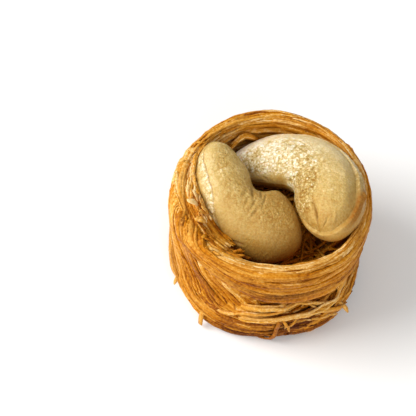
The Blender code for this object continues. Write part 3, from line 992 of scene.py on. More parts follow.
@dataclass
class Nest:
    """The wound cup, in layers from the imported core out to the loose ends.

    The nuts that lie in it press its threads aside. Level threads lie in bundles as wide as bundle
    says, drawn to their middles by the share gathered. A thread has a point at every step, and the
    windings reach down the inside as far as inner_depth from the crest.
    """

    nuts: tuple[Cashew, ...]
    wall: Wall = field(default_factory=Wall)
    bundle: float = 2.2
    gathered: float = 0.62
    step: float = 1.15
    inner_depth: float = 11.0
    seed: int = 4

    def bunch(self, angle: np.ndarray, distance: np.ndarray) -> tuple[np.ndarray, np.ndarray]:
        """Draws level lanes together into bundles with grooves between them.

        Args:
            angle: angles round the nest.
            distance: distances along the section.

        Returns:
            The distances moved towards the bundles' middles, and how far up the bundles' backs they
            are, from -1 to 1.
        """
        radians = np.radians(angle)
        phase = (2.0 * math.pi * distance / self.bundle + 1.3 * np.sin(radians + 1.3 + distance / 9.0)
                 + 0.9 * np.sin(2.0 * radians + 0.4 - distance / 6.0)
                 + 0.5 * np.sin(5.0 * radians + distance / 3.0))
        shift = self.bundle / (2.0 * math.pi) * self.gathered
        return distance - shift * np.sin(phase), np.cos(phase)

    def gather(self, share: float, bundles: float) -> tuple[float, float]:
        """Draws the threads of a sweep together into bundles.

        Args:
            share: the thread's place across the sweep, from 0 to 1.
            bundles: how many bundles the sweep has.

        Returns:
            The place moved towards its bundle's middle, and how far up the bundle's back it is, from
            -1 to 1.
        """
        phase = 2.0 * math.pi * share * bundles + 0.8 * math.sin(9.0 * share + 1.0)
        return share - self.gathered * math.sin(phase) / (2.0 * math.pi * bundles), math.cos(phase)

    def drift(self, angle: np.ndarray, lane: float) -> np.ndarray:
        """How far the winding of a lane strays from level at each angle."""
        radians = np.radians(angle)
        stray = (0.75 * np.sin(radians + lane / 9.0 + 0.5) + 0.45 * np.sin(2.0 * radians - lane / 7.0 + 2.0)
                 + 0.25 * np.sin(3.0 * radians + lane / 5.0) + 0.14 * np.sin(7.0 * radians - lane / 4.0))
        return stray * ramp(0.0, 4.0, lane)

    def tone_and_painted_light(self, angle: np.ndarray, points: np.ndarray) -> np.ndarray:
        """How much paler the nest is at a place: painted light along the top, painted shade in the hollows and
        low down.

        Args:
            angle: angles round the nest.
            points: the places, one a row.

        Returns:
            What is added to the tone.
        """
        turned = wrap(angle, 90.0)
        height = points[:, 2]
        outside = ramp(17.2, 18.6, np.hypot(points[:, 0], points[:, 1]))
        front = ramp(235.0, 262.0, turned) * ramp(400.0, 350.0, turned)
        along_edge = hump(self.wall.collar_edge(turned) + 0.7, 0.9, height) * front
        low = ramp(9.0, 3.0, height) * front
        # Painted highlight along the top and a little paler along the collar's lower edge; painted shade in the
        # hollow under the collar and low down at the front.
        broad = 0.06 * ramp(24.6, 26.2, height) + 0.04 * along_edge
        broad = broad - 0.34 * self.wall.recess(angle, height) - 0.36 * low
        # Painted shade low under the collar at the left, painted light low at the right front, darker near the
        # crest at the left front, and painted shade in the hollow near the foot.
        broad = broad - 0.09 * hump(238.0, 22.0, turned) * ramp(16.0, 12.0, height)
        broad = broad + 0.12 * hump(326.0, 14.0, turned) * ramp(14.0, 9.0, height)
        broad = broad - 0.14 * hump(238.0, 13.0, turned) * ramp(23.5, 25.5, height)
        broad = broad - 0.12 * hump(297.0, 18.0, turned) * hump(5.5, 2.2, height)
        # Painted light on the shaded inner back wall and its arch, and on the left rim beside the nut.
        inside = 0.22 * hump(140.0, 32.0, turned) + 0.08 * hump(123.0, 14.0, turned)
        painted_light_left_rim = hump(184.0, 28.0, turned) * ramp(19.0, 24.0, height)
        streaks = self.cloud(turned, height, 2.6, 0.8, 0.0)
        patches = self.cloud(turned, height, 7.0, 0.5, 40.0)
        return outside * broad + (1.0 - outside) * inside + 0.15 * painted_light_left_rim + 0.20 * streaks + 0.08 * patches

    @staticmethod
    def cloud(angle: np.ndarray, height: np.ndarray, across: float, up: float, start: float) -> np.ndarray:
        """Smooth noise over the wall.

        Args:
            angle: angles round the nest.
            height: heights.
            across: how fast it changes round the nest.
            up: how fast it changes with the height.
            start: where in the noise it begins, so that two of them differ.

        Returns:
            The noise at each place.
        """
        return np.array([noise.noise((across * math.cos(a), across * math.sin(a), up * z + start))
                         for a, z in zip(np.radians(angle), height)])

    def thread(self, skein: Skein, angle: np.ndarray, distance: np.ndarray, lift: np.ndarray,
               thickness: float, look: Look, curl: float = 0.0, tinted: bool = True) -> None:
        """Lays a thread on the wall, beside the nuts, in steps of even length.

        Args:
            skein: the piece that gets the thread.
            angle: the angles that it runs through.
            distance: its distances along the section.
            lift: its heights out of the wall.
            thickness: its width.
            look: its tone and its share of syrup.
            curl: how far its last stretch stands off the wall.
            tinted: whether its tone takes the painted light and shade, and the tone, of the place where it lies.
        """
        steps = np.hypot(np.radians(np.diff(angle)) * self.wall.radius, np.diff(distance))
        run = np.concatenate([[0.0], np.cumsum(steps)])
        count = max(5, round(run[-1] / self.step) + 1)
        marks = np.linspace(0.0, run[-1], count)
        tone = np.broadcast_to(look[0], len(angle))
        angle, distance, lift, tone = (
            np.interp(marks, run, values) for values in (angle, distance, lift, tone))
        distance = distance + 0.05 * skein.waver(angle, 13.0, 6.0, 3)
        lift = lift + 0.05 * skein.waver(angle, 13.0, 6.0, 3)
        lift = lift + curl * ramp(count - 4.0, count, np.arange(count, dtype=float))
        points, outward = self.wall.lay(angle, distance, lift)
        if tinted:
            tone = tone + self.tone_and_painted_light(angle, points)
        self.string(skein, points, outward, thickness, (tone, look[1]))

    def string(self, skein: Skein, points: np.ndarray, outward: np.ndarray, thickness: float,
               look: Look) -> None:
        """Adds a thread through points, moved out of the nuts and up from the table.

        Args:
            skein: the piece that gets the thread.
            points: its middle line.
            outward: a direction across it at each point.
            thickness: its width.
            look: its tone and its share of syrup.
        """
        for nut in self.nuts:
            points = nut.clear(points, 0.55 * thickness)
        points[:, 2] = np.maximum(points[:, 2], 0.72 * thickness + 0.03)
        skein.add(points, outward, thickness, look)

    def span(self, start: float, sweep: float, radius: float = 20.0) -> np.ndarray:
        """Angles through a sweep at a distance from the axis, close enough for a steep thread."""
        count = max(5, round(abs(math.radians(sweep)) * radius / self.step * 2.5) + 1)
        return start + sweep * np.arange(count) / (count - 1.0)

    def core(self) -> bpy.types.Object:
        """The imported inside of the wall, under the threads that show.

        A disc is extruded ring by ring up the outside, over the rim and down to the floor, and each
        ring is then laid where it belongs.

        Returns:
            The core's object.
        """
        bottom, sides, disc_radius, sunk = 0.6, 72, 0.018, 1.25
        inner_end = self.wall.crest + self.inner_depth
        floor_run = self.wall.length - self.wall.crest - self.inner_depth
        rows = np.concatenate([
            [bottom], np.arange(2.0, inner_end, 1.6), inner_end + floor_run * np.array([0.35, 0.65, 0.95])])
        bpy.ops.object.select_all(action="DESELECT")
        bpy.ops.mesh.primitive_circle_add(vertices=sides, radius=disc_radius, fill_type="NGON")
        piece = bpy.context.object
        piece.name = piece.data.name = "packed_core"
        bpy.ops.object.mode_set(mode="EDIT")
        bpy.ops.mesh.select_all(action="SELECT")
        for _ in rows:
            bpy.ops.mesh.extrude_region_move(TRANSFORM_OT_translate={"value": (0.0, 0.0, MM)})
        bpy.ops.object.mode_set(mode="OBJECT")
        x, y, z = mesh_points(piece.data).T
        order = np.rint(z / MM).astype(int)
        distances = np.concatenate([[bottom], rows])[order]
        places, _ = self.wall.lay(np.degrees(np.arctan2(y, x)), distances, np.full(len(z), -sunk))
        for nut in self.nuts:
            places = nut.clear(places, 0.6)
        places[:, 2] = np.where(order == 0, 0.25, np.maximum(places[:, 2], 0.3))
        move_points(piece, places)
        dress(piece.data, {}, PackedPastry().build())
        return piece

    def bedding(self) -> Skein:
        """The windings under those that show: round the wall, over the rim and down the inside."""
        skein = Skein("bedding_threads", self.seed)
        draw = skein.draw
        for lane in np.repeat(np.arange(0.5, self.wall.crest + self.inner_depth, 0.72), 2):
            inside = lane > self.wall.crest + 1.5
            angle = self.span(draw.uniform(0.0, 360.0), draw.uniform(190.0, 300.0))
            bent = lane + self.drift(angle, lane) + 0.9 * skein.waver(angle, 150.0, 30.0)
            lift = draw.uniform(-1.0, -0.55) + 0.25 * skein.waver(angle, 90.0, 25.0)
            # The outer windings are darker than the inner ones, partly as painted shade under the threads over
            # them.
            look = skein.look(0.52 if inside else 0.40, 0.9)
            self.thread(skein, angle, bent, lift, draw.uniform(0.65, 0.95), look)
        return skein

    def body(self) -> Skein:
        """The level windings of the wall, at the right and back, and low down at the front."""
        skein = Skein("body_threads", self.seed + 1)
        draw = skein.draw
        for lane in np.arange(0.7, self.wall.crest + 0.5, 0.28):
            first = draw.uniform(225.0, 262.0) if lane < 11.5 else draw.uniform(262.0, 345.0)
            finish = draw.uniform(520.0, 566.0)
            for start, sweep in skein.runs(first, finish, (50.0, 190.0), (0.72, 1.02), 12.0):
                angle = self.span(start, sweep)
                own = 0.7 * skein.waver(angle, 160.0, 25.0)
                slope = draw.normal(0.0, 0.012) * (angle - start - 0.5 * sweep)
                bent, back = self.bunch(angle, lane + self.drift(angle, lane) + own + slope)
                lift = 0.38 * back - 0.35 + draw.uniform(-0.25, 0.25) + 0.14 * skein.waver(angle, 60.0, 15.0)
                curl = draw.uniform(0.2, 0.8) if draw.random() < 0.35 else 0.0
                # The lowest lanes are darker, partly as painted shade low on the wall; threads on the bundles'
                # backs are paler and those in the grooves darker, as painted light and shade.
                tone, syrup = skein.look(0.52 - 0.12 * (lane < 4.0), 0.66, start + 0.5 * sweep)
                look = (tone + 0.10 * back, syrup)
                self.thread(skein, angle, bent, lift, skein.width(0.2), look, curl)
        return skein

    def fall(self, angle: np.ndarray, crossing: float, lane: float, depth: float,
             reach: float) -> np.ndarray:
        """The way of a thread that leaves the lining, crosses the rim and drops steeply to its lane.

        Args:
            angle: angles round the nest.
            crossing: the angle at which it has begun to drop.
            lane: its lane's distance along the section.
            depth: how far inside the rim it starts.
            reach: in how many degrees it comes down most of the way.

        Returns:
            Distances along the section.
        """
        drop = self.wall.crest + depth - lane
        return lane + drop * (1.0 - np.exp(-np.exp((crossing - angle) / reach)))

    def sweeps(self) -> Skein:
        """The threads that come over the rim at the left and sweep down to the foot of the front."""
        skein = Skein("sweeping_threads", self.seed + 2)
        draw = skein.draw
        count = 150
        for number in range(count):
            share, back = self.gather((number + draw.uniform(-0.4, 0.4)) / (count - 1.0), 8.0)
            lane = 0.9 + 8.3 * share
            crossing = 172.0 + 50.0 * share + draw.normal(0.0, 2.5)
            start = crossing - draw.uniform(20.0, 45.0)
            stop = draw.uniform(252.0, 290.0) if share > 0.7 else draw.uniform(262.0, 345.0)
            angle = self.span(start, stop - start)
            bent = self.fall(angle, crossing, lane, draw.uniform(1.0, 4.5), draw.uniform(8.0, 13.0))
            bent = bent + 0.40 * skein.waver(angle, 120.0, 30.0)
            lift = 0.30 * back - 0.20 + draw.uniform(-0.30, 0.25) + 0.14 * skein.waver(angle, 60.0, 15.0)
            # Paler on the bundles' backs and darker in the grooves, as painted light and shade, with less syrup
            # on the backs.
            look = skein.look(0.45 + 0.16 * back, 0.74 - 0.14 * back)
            curl = draw.uniform(0.2, 0.8) if draw.random() < 0.3 else 0.0
            self.thread(skein, angle, bent, lift, skein.width(0.25), look, curl)
        return skein

    def fan(self) -> Skein:
        """The syrupy threads that drop steeply from under the collar at the left of the front.

        They lie in two layers, one under the other.
        """
        skein = Skein("fanned_threads", self.seed + 3)
        draw = skein.draw
        layer = 65
        for number in range(2 * layer):
            share, back = self.gather((number % layer + draw.uniform(-0.3, 0.3)) / (layer - 1.0), 7.0)
            lane = float(self.wall.rise(8.4 + 1.4 * share + draw.uniform(-0.4, 0.4)))
            crossing = 196.0 + 58.0 * share
            angle = self.span(crossing - draw.uniform(14.0, 22.0), draw.uniform(48.0, 62.0))
            angle = angle[angle < draw.uniform(262.0, 276.0)]
            bent = self.fall(angle, crossing, lane, 1.0, draw.uniform(8.0, 10.5))
            bent = bent + 0.15 * skein.waver(angle, 60.0, 15.0)
            under = 0.25 if number >= layer else 0.0
            lift = np.full(len(angle), 0.20 * back - 0.25 - under + draw.uniform(-0.10, 0.12))
            # Paler on the bundles' backs and darker in the grooves, as painted light and shade, with less syrup
            # on the backs.
            look = skein.look(0.72 + 0.10 * back, 0.92 - 0.10 * back)
            self.thread(skein, angle, bent, lift, skein.width(0.35), look)
        return skein

    def collar(self) -> Skein:
        """The tight band of fine threads below the rim, from the left round the front to the right.

        They lie in two layers, and a broad band of them, a little above the lower edge, stayed dry
        and dull.
        """
        skein = Skein("collar_threads", self.seed + 4)
        draw = skein.draw
        layer = 95
        for number in range(2 * layer):
            share, back = self.gather((number % layer + draw.uniform(-0.4, 0.4)) / (layer - 1.0), 5.5)
            crossing = 216.0 + 8.0 * share + draw.normal(0.0, 2.0)
            stop = draw.uniform(335.0, 432.0)
            start = crossing - draw.uniform(20.0, 50.0)
            if draw.random() < 0.25:
                start = draw.uniform(235.0, 300.0)
            angle = self.span(start, stop - start)
            edge = self.wall.collar_edge(angle)
            lane = self.wall.rise(edge + (self.wall.height - 0.6 - edge) * share)
            top = self.fall(angle, crossing, float(self.wall.rise(17.0 + 9.0 * share)), 1.5, 7.0)
            slope = draw.normal(0.0, 0.007) * (angle - 280.0)
            bent = np.maximum(lane, top) + 0.35 * skein.waver(angle, 120.0, 30.0) + slope
            under = 0.25 if number >= layer else 0.0
            lift = 0.34 * back + 0.22 - under + draw.uniform(-0.14, 0.14)
            lift = lift + 0.08 * skein.waver(angle, 50.0, 15.0)
            dried = float(hump(0.24, 0.10, share))
            # Paler on the bundles' backs and darker in the grooves: painted light and shade.
            look = skein.look(0.33 + 0.14 * share + 0.10 * back, 0.76 - 0.50 * dried, 0.5 * (start + stop))
            self.thread(skein, angle, bent, lift, skein.width(0.2), look)
        return skein

    def rim(self) -> Skein:
        """The pale band of fine threads along the top of the wall, open where the others cross it."""
        skein = Skein("rim_threads", self.seed + 5)
        draw = skein.draw
        for lane in np.arange(self.wall.crest - 1.8, self.wall.crest + 2.4, 0.16):
            first = draw.uniform(222.0, 250.0)
            finish = draw.uniform(480.0, 520.0)
            for start, sweep in skein.runs(first, finish, (70.0, 230.0), (0.8, 1.0)):
                middle = start + 0.5 * sweep
                angle = self.span(start, sweep, 19.0)
                bent = lane + 0.30 * skein.waver(angle, 140.0, 30.0)
                lift = 0.02 + draw.uniform(-0.22, 0.14) + 0.10 * skein.waver(angle, 60.0, 15.0)
                behind = float(hump(460.0, 45.0, middle))
                look = skein.look(0.68 - 0.27 * behind, 0.5 + 0.6 * behind, middle)
                self.thread(skein, angle, bent, lift, draw.uniform(0.34, 0.52), look)
        return skein

    def lining(self) -> Skein:
        """The level windings of the inside, with a fold that arches over a hollow at the back left."""
        skein = Skein("lining_threads", self.seed + 6)
        draw = skein.draw
        fold = 118.0
        for lane in np.arange(self.wall.crest + 1.6, self.wall.crest + 11.5, 0.28):
            first = draw.uniform(0.0, 360.0)
            for start, sweep in skein.runs(first, first + 400.0, (60.0, 170.0), (0.75, 1.0)):
                angle = self.span(start, sweep, 17.5)
                own = 0.5 * skein.waver(angle, 160.0, 25.0)
                bent, back = self.bunch(angle, lane + 0.6 * self.drift(angle, lane) + own)
                hollow = hump(0.0, 11.0, wrap(angle - fold, -180.0)) * hump(self.wall.crest + 7.6, 2.4, bent)
                lift = 0.26 * back - 0.3 + draw.uniform(-0.15, 0.15) - 0.6 * hollow
                tone, syrup = skein.look(0.60, 0.95)
                # Paler on the bundles' backs and darker in the grooves: painted light and shade.
                self.thread(skein, angle, bent, lift, skein.width(0.45), (tone + 0.07 * back, syrup))
        for _ in range(18):
            angle = self.span(146.0, -50.0, 17.0)
            top = self.wall.sink(22.8) + draw.uniform(-0.8, 0.6)
            bent = top + 4.6 * (1.0 - hump(fold, 13.0, angle)) + 0.12 * skein.waver(angle, 60.0, 15.0)
            lift = draw.uniform(0.2, 0.9) + 0.5 * hump(fold, 20.0, angle)
            self.thread(skein, angle, bent, lift, draw.uniform(0.40, 0.55), skein.look(0.46, 1.0))
        return skein

    @staticmethod
    def scrap(length: float, heading: float, radius: float) -> tuple[np.ndarray, np.ndarray, np.ndarray]:
        """A short straight way over the wall.

        Args:
            length: how long it is.
            heading: its slant from level, in radians.
            radius: the wall's radius there.

        Returns:
            For each of its points the share of its length, from -0.5 to 0.5, and how far it is from
            its middle, as an angle round the nest and as a distance along the section.
        """
        share = np.linspace(-0.5, 0.5, 6)
        aside = np.degrees(length * share * math.cos(heading) / radius)
        return share, aside, length * share * math.sin(heading)

    def padding(self) -> Skein:
        """The threads pressed between the left nut and the wall, and the broken bits beside them."""
        skein = Skein("padding_threads", self.seed + 10)
        draw = skein.draw
        crest = self.wall.crest
        for _ in range(150):
            start = draw.uniform(148.0, 190.0)
            angle = self.span(start, draw.uniform(200.0, 244.0) - start, 18.0)
            inward = draw.uniform(0.0, 1.0)
            away = ramp(198.0, 236.0, angle)
            depth = 1.4 + 1.8 * inward + 2.0 * away * inward
            bent = crest + depth + 0.3 * skein.waver(angle, 60.0, 15.0)
            lift = 5.0 * inward - 0.3 * away + 0.10 * skein.waver(angle, 80.0, 30.0)
            # Threads further in, between the nut and the wall, are darker: painted shade.
            tone, syrup = skein.look(0.70 - 0.12 * inward, 0.72 + 0.25 * inward)
            tone = tone - 0.20 * inward * ramp(184.0, 198.0, angle) * ramp(236.0, 224.0, angle)
            self.thread(skein, angle, bent, lift, skein.width(0.4), (tone, syrup), draw.uniform(-0.3, 0.4))
        for _ in range(60):
            angle = self.span(draw.uniform(190.0, 225.0), draw.uniform(18.0, 40.0), 15.0)
            depth = draw.uniform(1.5, 7.5)
            bent = crest + depth + 0.5 * skein.waver(angle, 60.0, 15.0)
            lift = 0.62 * depth * draw.uniform(0.3, 1.0) + 0.2 * skein.waver(angle, 40.0, 12.0)
            look = skein.look(0.46, 0.75)
            self.thread(skein, angle, bent, lift, draw.uniform(0.50, 0.90), look)
        for _ in range(40):
            share, aside, onward = self.scrap(draw.uniform(1.2, 3.5), draw.normal(0.0, 0.9), 16.0)
            angle = draw.uniform(205.0, 252.0) + aside
            depth = draw.uniform(1.5, 5.5)
            lift = 0.66 * depth * draw.uniform(0.6, 1.0) + draw.uniform(-0.7, 0.7) * share
            look = skein.look(0.42, 0.6)
            self.thread(skein, angle, crest + depth + onward, lift, draw.uniform(0.50, 0.85), look)
        for _ in range(22):
            share, aside, onward = self.scrap(draw.uniform(1.8, 3.6), draw.normal(0.0, 0.9), 17.0)
            inward = draw.uniform(0.22, 0.70)
            angle = draw.uniform(190.0, 216.0) + aside
            bent = crest + 1.4 + 1.8 * inward + onward
            lift = 5.0 * inward + 0.50 + draw.uniform(-0.4, 0.4) * share
            self.thread(skein, angle, bent, lift, draw.uniform(0.90, 1.30), skein.look(0.76, 0.5))
        return skein

    def floor_tangle(self) -> Skein:
        """The threads that cross one another on the floor of the cup."""
        skein = Skein("floor_threads", self.seed + 7)
        draw = skein.draw
        for _ in range(150):
            middle = draw.uniform(-12.0, 12.0, 2)
            heading = draw.uniform(0.0, math.pi)
            half = draw.uniform(3.0, 10.0)
            t = np.linspace(-1.0, 1.0, max(6, round(2.0 * half / self.step)))
            bow = draw.uniform(-3.0, 3.0)
            x = middle[0] + half * t * math.cos(heading) - bow * t**2 * math.sin(heading)
            y = middle[1] + half * t * math.sin(heading) + bow * t**2 * math.cos(heading)
            squeeze = np.minimum(1.0, 15.6 / np.maximum(np.hypot(x, y), 1e-6))
            x, y = x * squeeze, y * squeeze
            ground = self.wall.floor + 0.25 + 2.4 * ramp(12.0, 17.0, np.hypot(x, y))
            z = ground + draw.uniform(0.0, 1.2)
            z = z + 0.3 * np.sin(t * draw.uniform(2.0, 5.0) + draw.uniform(0.0, 6.0))
            outward = np.tile([0.0, 0.0, 1.0], (len(t), 1))
            look = skein.look(0.54, 0.85)
            self.string(skein, np.stack([x, y, z], axis=1), outward, draw.uniform(0.40, 0.75), look)
        return skein

    def lower_band(self) -> Skein:
        """The bundles that cross the hollow under the collar, some of them ending in the open."""
        skein = Skein("lower_band_threads", self.seed + 8)
        draw = skein.draw
        bundles = (
            Bundle(4, 0.5, 0.60, ((246, 8.0, 0.2), (252, 8.4, 0.4), (261, 9.6, 0.5), (270, 10.6, 0.7),
                                  (280, 11.3, 0.9), (287, 12.3, 1.0), (295, 12.5, 1.0), (303, 11.6, 0.9),
                                  (310, 10.4, 0.7), (317, 9.4, 0.4))),
            Bundle(6, 1.0, 0.58, ((258, 8.2, 0.1), (264, 8.6, 0.3), (272, 9.0, 0.5), (281, 10.0, 0.8),
                                  (290, 10.6, 0.9), (300, 10.2, 0.9), (309, 9.8, 0.8), (318, 9.4, 0.8),
                                  (327, 9.4, 0.6), (336, 9.6, 0.2))),
            Bundle(4, 0.5, 0.58, ((259, 11.6, 0), (264, 11.6, 0.3), (270, 12.4, 0.6), (277, 12.6, 0.8),
                                  (284, 12.5, 0.8), (290, 12.4, 0.4))),
            Bundle(3, 0.5, 0.52, ((253, 7.4, 0.2), (265, 6.2, 0.3), (280, 5.2, 0.3), (297, 5.4, 0.2),
                                  (312, 7.0, 0.1))),
            Bundle(3, 0.5, 0.56, ((303, 11.2, 0.5), (311, 8.8, 0.6), (318, 7.2, 0.7), (327, 6.2, 0.9))),
            Bundle(3, 0.4, 0.54, ((300, 5.4, 0.2), (308, 5.8, 0.5), (316, 5.4, 0.6), (323, 3.6, 0.5))),
            Bundle(2, 0.3, 0.58, ((324, 14.6, 0.6), (325, 12.2, 0.9), (326, 10.4, 0.8), (324, 9.0, 0.6))),
            Bundle(2, 0.3, 0.56, ((338, 13.0, 0.4), (333, 11.4, 0.9), (328, 10.2, 0.9), (322, 9.6, 0.4))),
            Bundle(6, 2.0, 0.42, ((258, 14.2, 0.1), (272, 15.0, -0.2), (288, 14.0, -0.2), (306, 13.0, -0.2),
                                  (324, 11.8, 0.0), (342, 11.4, 0.1))),
            Bundle(5, 1.6, 0.38, ((290, 2.2, 0), (302, 3.6, 0.3), (314, 5.8, 0.4), (326, 8.4, 0.4),
                                  (340, 10.6, 0.1))),
        )
        for bundle in bundles:
            way = Wall.smooth(np.array(bundle.places, dtype=float), 8)
            for _ in range(bundle.threads):
                angle, height, lift = way[draw.integers(0, 5) : len(way) - draw.integers(0, 5)].T
                own = 0.25 * bundle.spread * skein.waver(angle, 40.0, 14.0)
                distance = self.wall.rise(height + draw.uniform(-0.5, 0.5) * bundle.spread + own)
                lift = lift + draw.uniform(-0.2, 0.25)
                tone, syrup = skein.look(bundle.tone + 0.15, 0.60, 270.0)
                look = (min(tone, 0.72), syrup)
                curl = draw.uniform(-0.2, 0.5)
                self.thread(skein, angle, distance, lift, skein.width(0.4), look, curl, False)
        return skein

    def strand(self, skein: Skein, places: Places, thickness: float, look: Look) -> None:
        """Lays a thread through places on the outside of the wall."""
        angle, height, lift = Wall.smooth(np.array(places), 5).T
        self.thread(skein, angle, self.wall.rise(height), lift, thickness, look, tinted=False)

    def loose_ends(self) -> Skein:
        """The ends and loops that hang free, and the broken bits at the rim."""
        skein = Skein("loose_threads", self.seed + 9)
        draw = skein.draw
        loops = (
            ((-76.5, 9.8, 0.2), (-76.5, 8.2, 0.9), (-77.0, 6.0, 1.2), (-77.5, 3.8, 1.3), (-80.0, 1.8, 1.1),
             (-84.0, 1.0, 0.6), (-88.0, 1.2, 0.2)),
            ((-75.0, 9.8, 0.4), (-72.5, 8.6, 1.2), (-71.5, 6.8, 1.3), (-71.5, 5.0, 1.0)),
            ((-65.5, 9.6, 0.3), (-68.0, 8.4, 1.1), (-69.5, 6.6, 1.3), (-69.5, 4.6, 1.2), (-68.5, 3.8, 0.9)),
            ((-38.0, 7.8, 0.2), (-35.0, 6.4, 0.9), (-33.5, 5.0, 1.7), (-33.0, 3.9, 2.3)),
            ((-150.0, 4.0, -0.2), (-148.0, 3.0, 0.8), (-147.0, 2.2, 1.5)),
            ((-58.0, 1.6, -0.1), (-55.0, 0.8, 0.7), (-52.0, 0.4, 0.9), (-49.0, 0.9, 0.2)),
            ((-163.0, 12.0, -0.1), (-158.0, 8.6, 0.4), (-151.0, 5.4, 0.45), (-144.0, 3.2, 0.4),
             (-137.0, 2.0, 0.0)),
            ((36.0, 24.6, -0.2), (40.0, 25.4, 0.5), (43.0, 26.0, 0.9)),
        )
        for places in loops:
            self.strand(skein, places, draw.uniform(0.62, 0.84), skein.look(0.60, 0.62, 300.0))
        stub = ((-121.5, 4.6, 0.1), (-120.5, 3.0, 1.0), (-119.5, 1.8, 1.9), (-119.0, 0.8, 2.7))
        self.strand(skein, stub, 1.0, (0.60, 0.5))
        groups = (
            (10, (192.0, 246.0), (self.wall.crest - 1.5, self.wall.crest + 2.0), 0.66),
            (10, (165.0, 205.0), (12.0, 26.0), 0.56),
            (20, (0.0, 360.0), (1.0, 22.0), 0.54),
        )
        for count, angles, distances, tone in groups:
            for _ in range(count):
                self.chip(skein, angles, distances, tone)
        return skein

    def chip(self, skein: Skein, angles: tuple[float, float], distances: tuple[float, float],
             tone: float) -> None:
        """Adds a short broken bit of thread that stands off the wall.

        Args:
            skein: the piece that gets it.
            angles: the least and greatest angle of its middle.
            distances: the least and greatest distance of its middle along the section.
            tone: the usual tone.
        """
        draw = skein.draw
        share, aside, onward = self.scrap(draw.uniform(1.3, 4.2), draw.uniform(-1.3, 1.3), 19.0)
        bow = draw.uniform(-0.8, 0.8)
        angle = draw.uniform(*angles) + aside
        distance = draw.uniform(*distances) + onward + bow * (share**2 - 0.25)
        lift = draw.uniform(0.05, 0.35) + draw.uniform(-0.7, 0.7) * share
        self.thread(skein, angle, distance, lift, draw.uniform(0.50, 0.85), skein.look(tone, 0.55))

    def build(self) -> None:
        """Makes every piece of the nest, each standing for the nest's solid."""
        baked = BakedThread().build()
        pieces = [self.core()]
        windings = (self.bedding, self.body, self.sweeps, self.fan, self.collar, self.rim, self.lining,
                    self.padding, self.floor_tangle, self.lower_band, self.loose_ends)
        for wind in windings:
            pieces.append(wind().build(baked))
        for piece in pieces:
            stand_for(piece, Node.NEST, Slot.PASTRY)


@dataclass(frozen=True)
class Lamp:
    """A soft square white light, with its place and its side in metres and its power in watts."""

    name: str
    location: tuple[float, float, float]
    side: float
    power: float

    def build(self, target: Vector) -> None:
        """Makes the light, turned to the target."""
        light = bpy.data.lights.new(self.name, "AREA")
        light.size = self.side
        light.energy = self.power
        lamp = bpy.data.objects.new(self.name, light)
        lamp.location = self.location
        lamp.rotation_euler = (target - lamp.location).to_track_quat("-Z", "Y").to_euler()
        bpy.context.scene.collection.objects.link(lamp)


@dataclass
class Studio:
    """The table, the light and the camera.

    The elevation and the roll are in degrees and lengths in metres. The camera aims so that a point
    of the nest shows at a pixel of the picture.
    """

    elevation: float = 57.0
    roll: float = 9.0
    distance: float = 0.28
    pixels_per_metre: float = 4703.0
    aim: tuple[float, float, float] = (0.0, 0.0, 0.012)
    aim_pixel: tuple[float, float] = (268.3, 227.5)
    lit: tuple[float, float, float] = (0.0, 0.0, 0.015)
    lamps: tuple[Lamp, ...] = (
        Lamp("window_light", (-0.575, -0.06, 0.45), 0.50, 6.4),
        Lamp("fill_light", (0.16, -0.57, 0.30), 0.5, 1.8),
    )
    surround: float = 0.48
    table_side: float = 3.0

    def table(self) -> None:
        """Lays the plain table top, whose edge is far outside the view."""
        bpy.ops.object.select_all(action="DESELECT")
        bpy.ops.mesh.primitive_grid_add(x_subdivisions=8, y_subdivisions=8, size=self.table_side)
        top = bpy.context.object
        top.name = top.data.name = "table_top"
        top.data.materials.append(PaleTable().build())

    def light(self) -> None:
        """Makes a bright soft light at the left, a weak one at the right and a white surround."""
        for lamp in self.lamps:
            lamp.build(Vector(self.lit))
        world = bpy.data.worlds.new("pale_surround")
        world.use_nodes = True
        background = world.node_tree.nodes["Background"]
        background.inputs["Color"].default_value = linear("#FFFFFF")
        background.inputs["Strength"].default_value = self.surround
        bpy.context.scene.world = world
        bpy.context.scene.view_settings.view_transform = "Standard"

    def camera(self) -> None:
        """Places a long lens that looks down at the nest's front, turned a little about its own axis."""
        tilt = math.radians(self.elevation)
        back = Vector((0.0, -math.cos(tilt), math.sin(tilt)))
        up = Vector((0.0, math.sin(tilt), math.cos(tilt)))
        right = up.cross(back)
        turn = math.radians(self.roll)
        camera_right = math.cos(turn) * right + math.sin(turn) * up
        camera_up = -math.sin(turn) * right + math.cos(turn) * up
        focal = self.pixels_per_metre * self.distance
        across, below = ((pixel - PICTURE_SIDE / 2.0) / focal for pixel in self.aim_pixel)
        place = Vector(self.aim) + self.distance * (back - camera_right * across + camera_up * below)
        lens = bpy.data.cameras.new("camera")
        lens.sensor_width = 36.0
        lens.lens = focal / PICTURE_SIDE * lens.sensor_width
        lens.clip_start = 0.01
        camera = bpy.data.objects.new("camera", lens)
        axes = Matrix((camera_right, camera_up, back)).transposed().to_4x4()
        camera.matrix_world = Matrix.Translation(place) @ axes
        bpy.context.scene.collection.objects.link(camera)
        bpy.context.scene.camera = camera


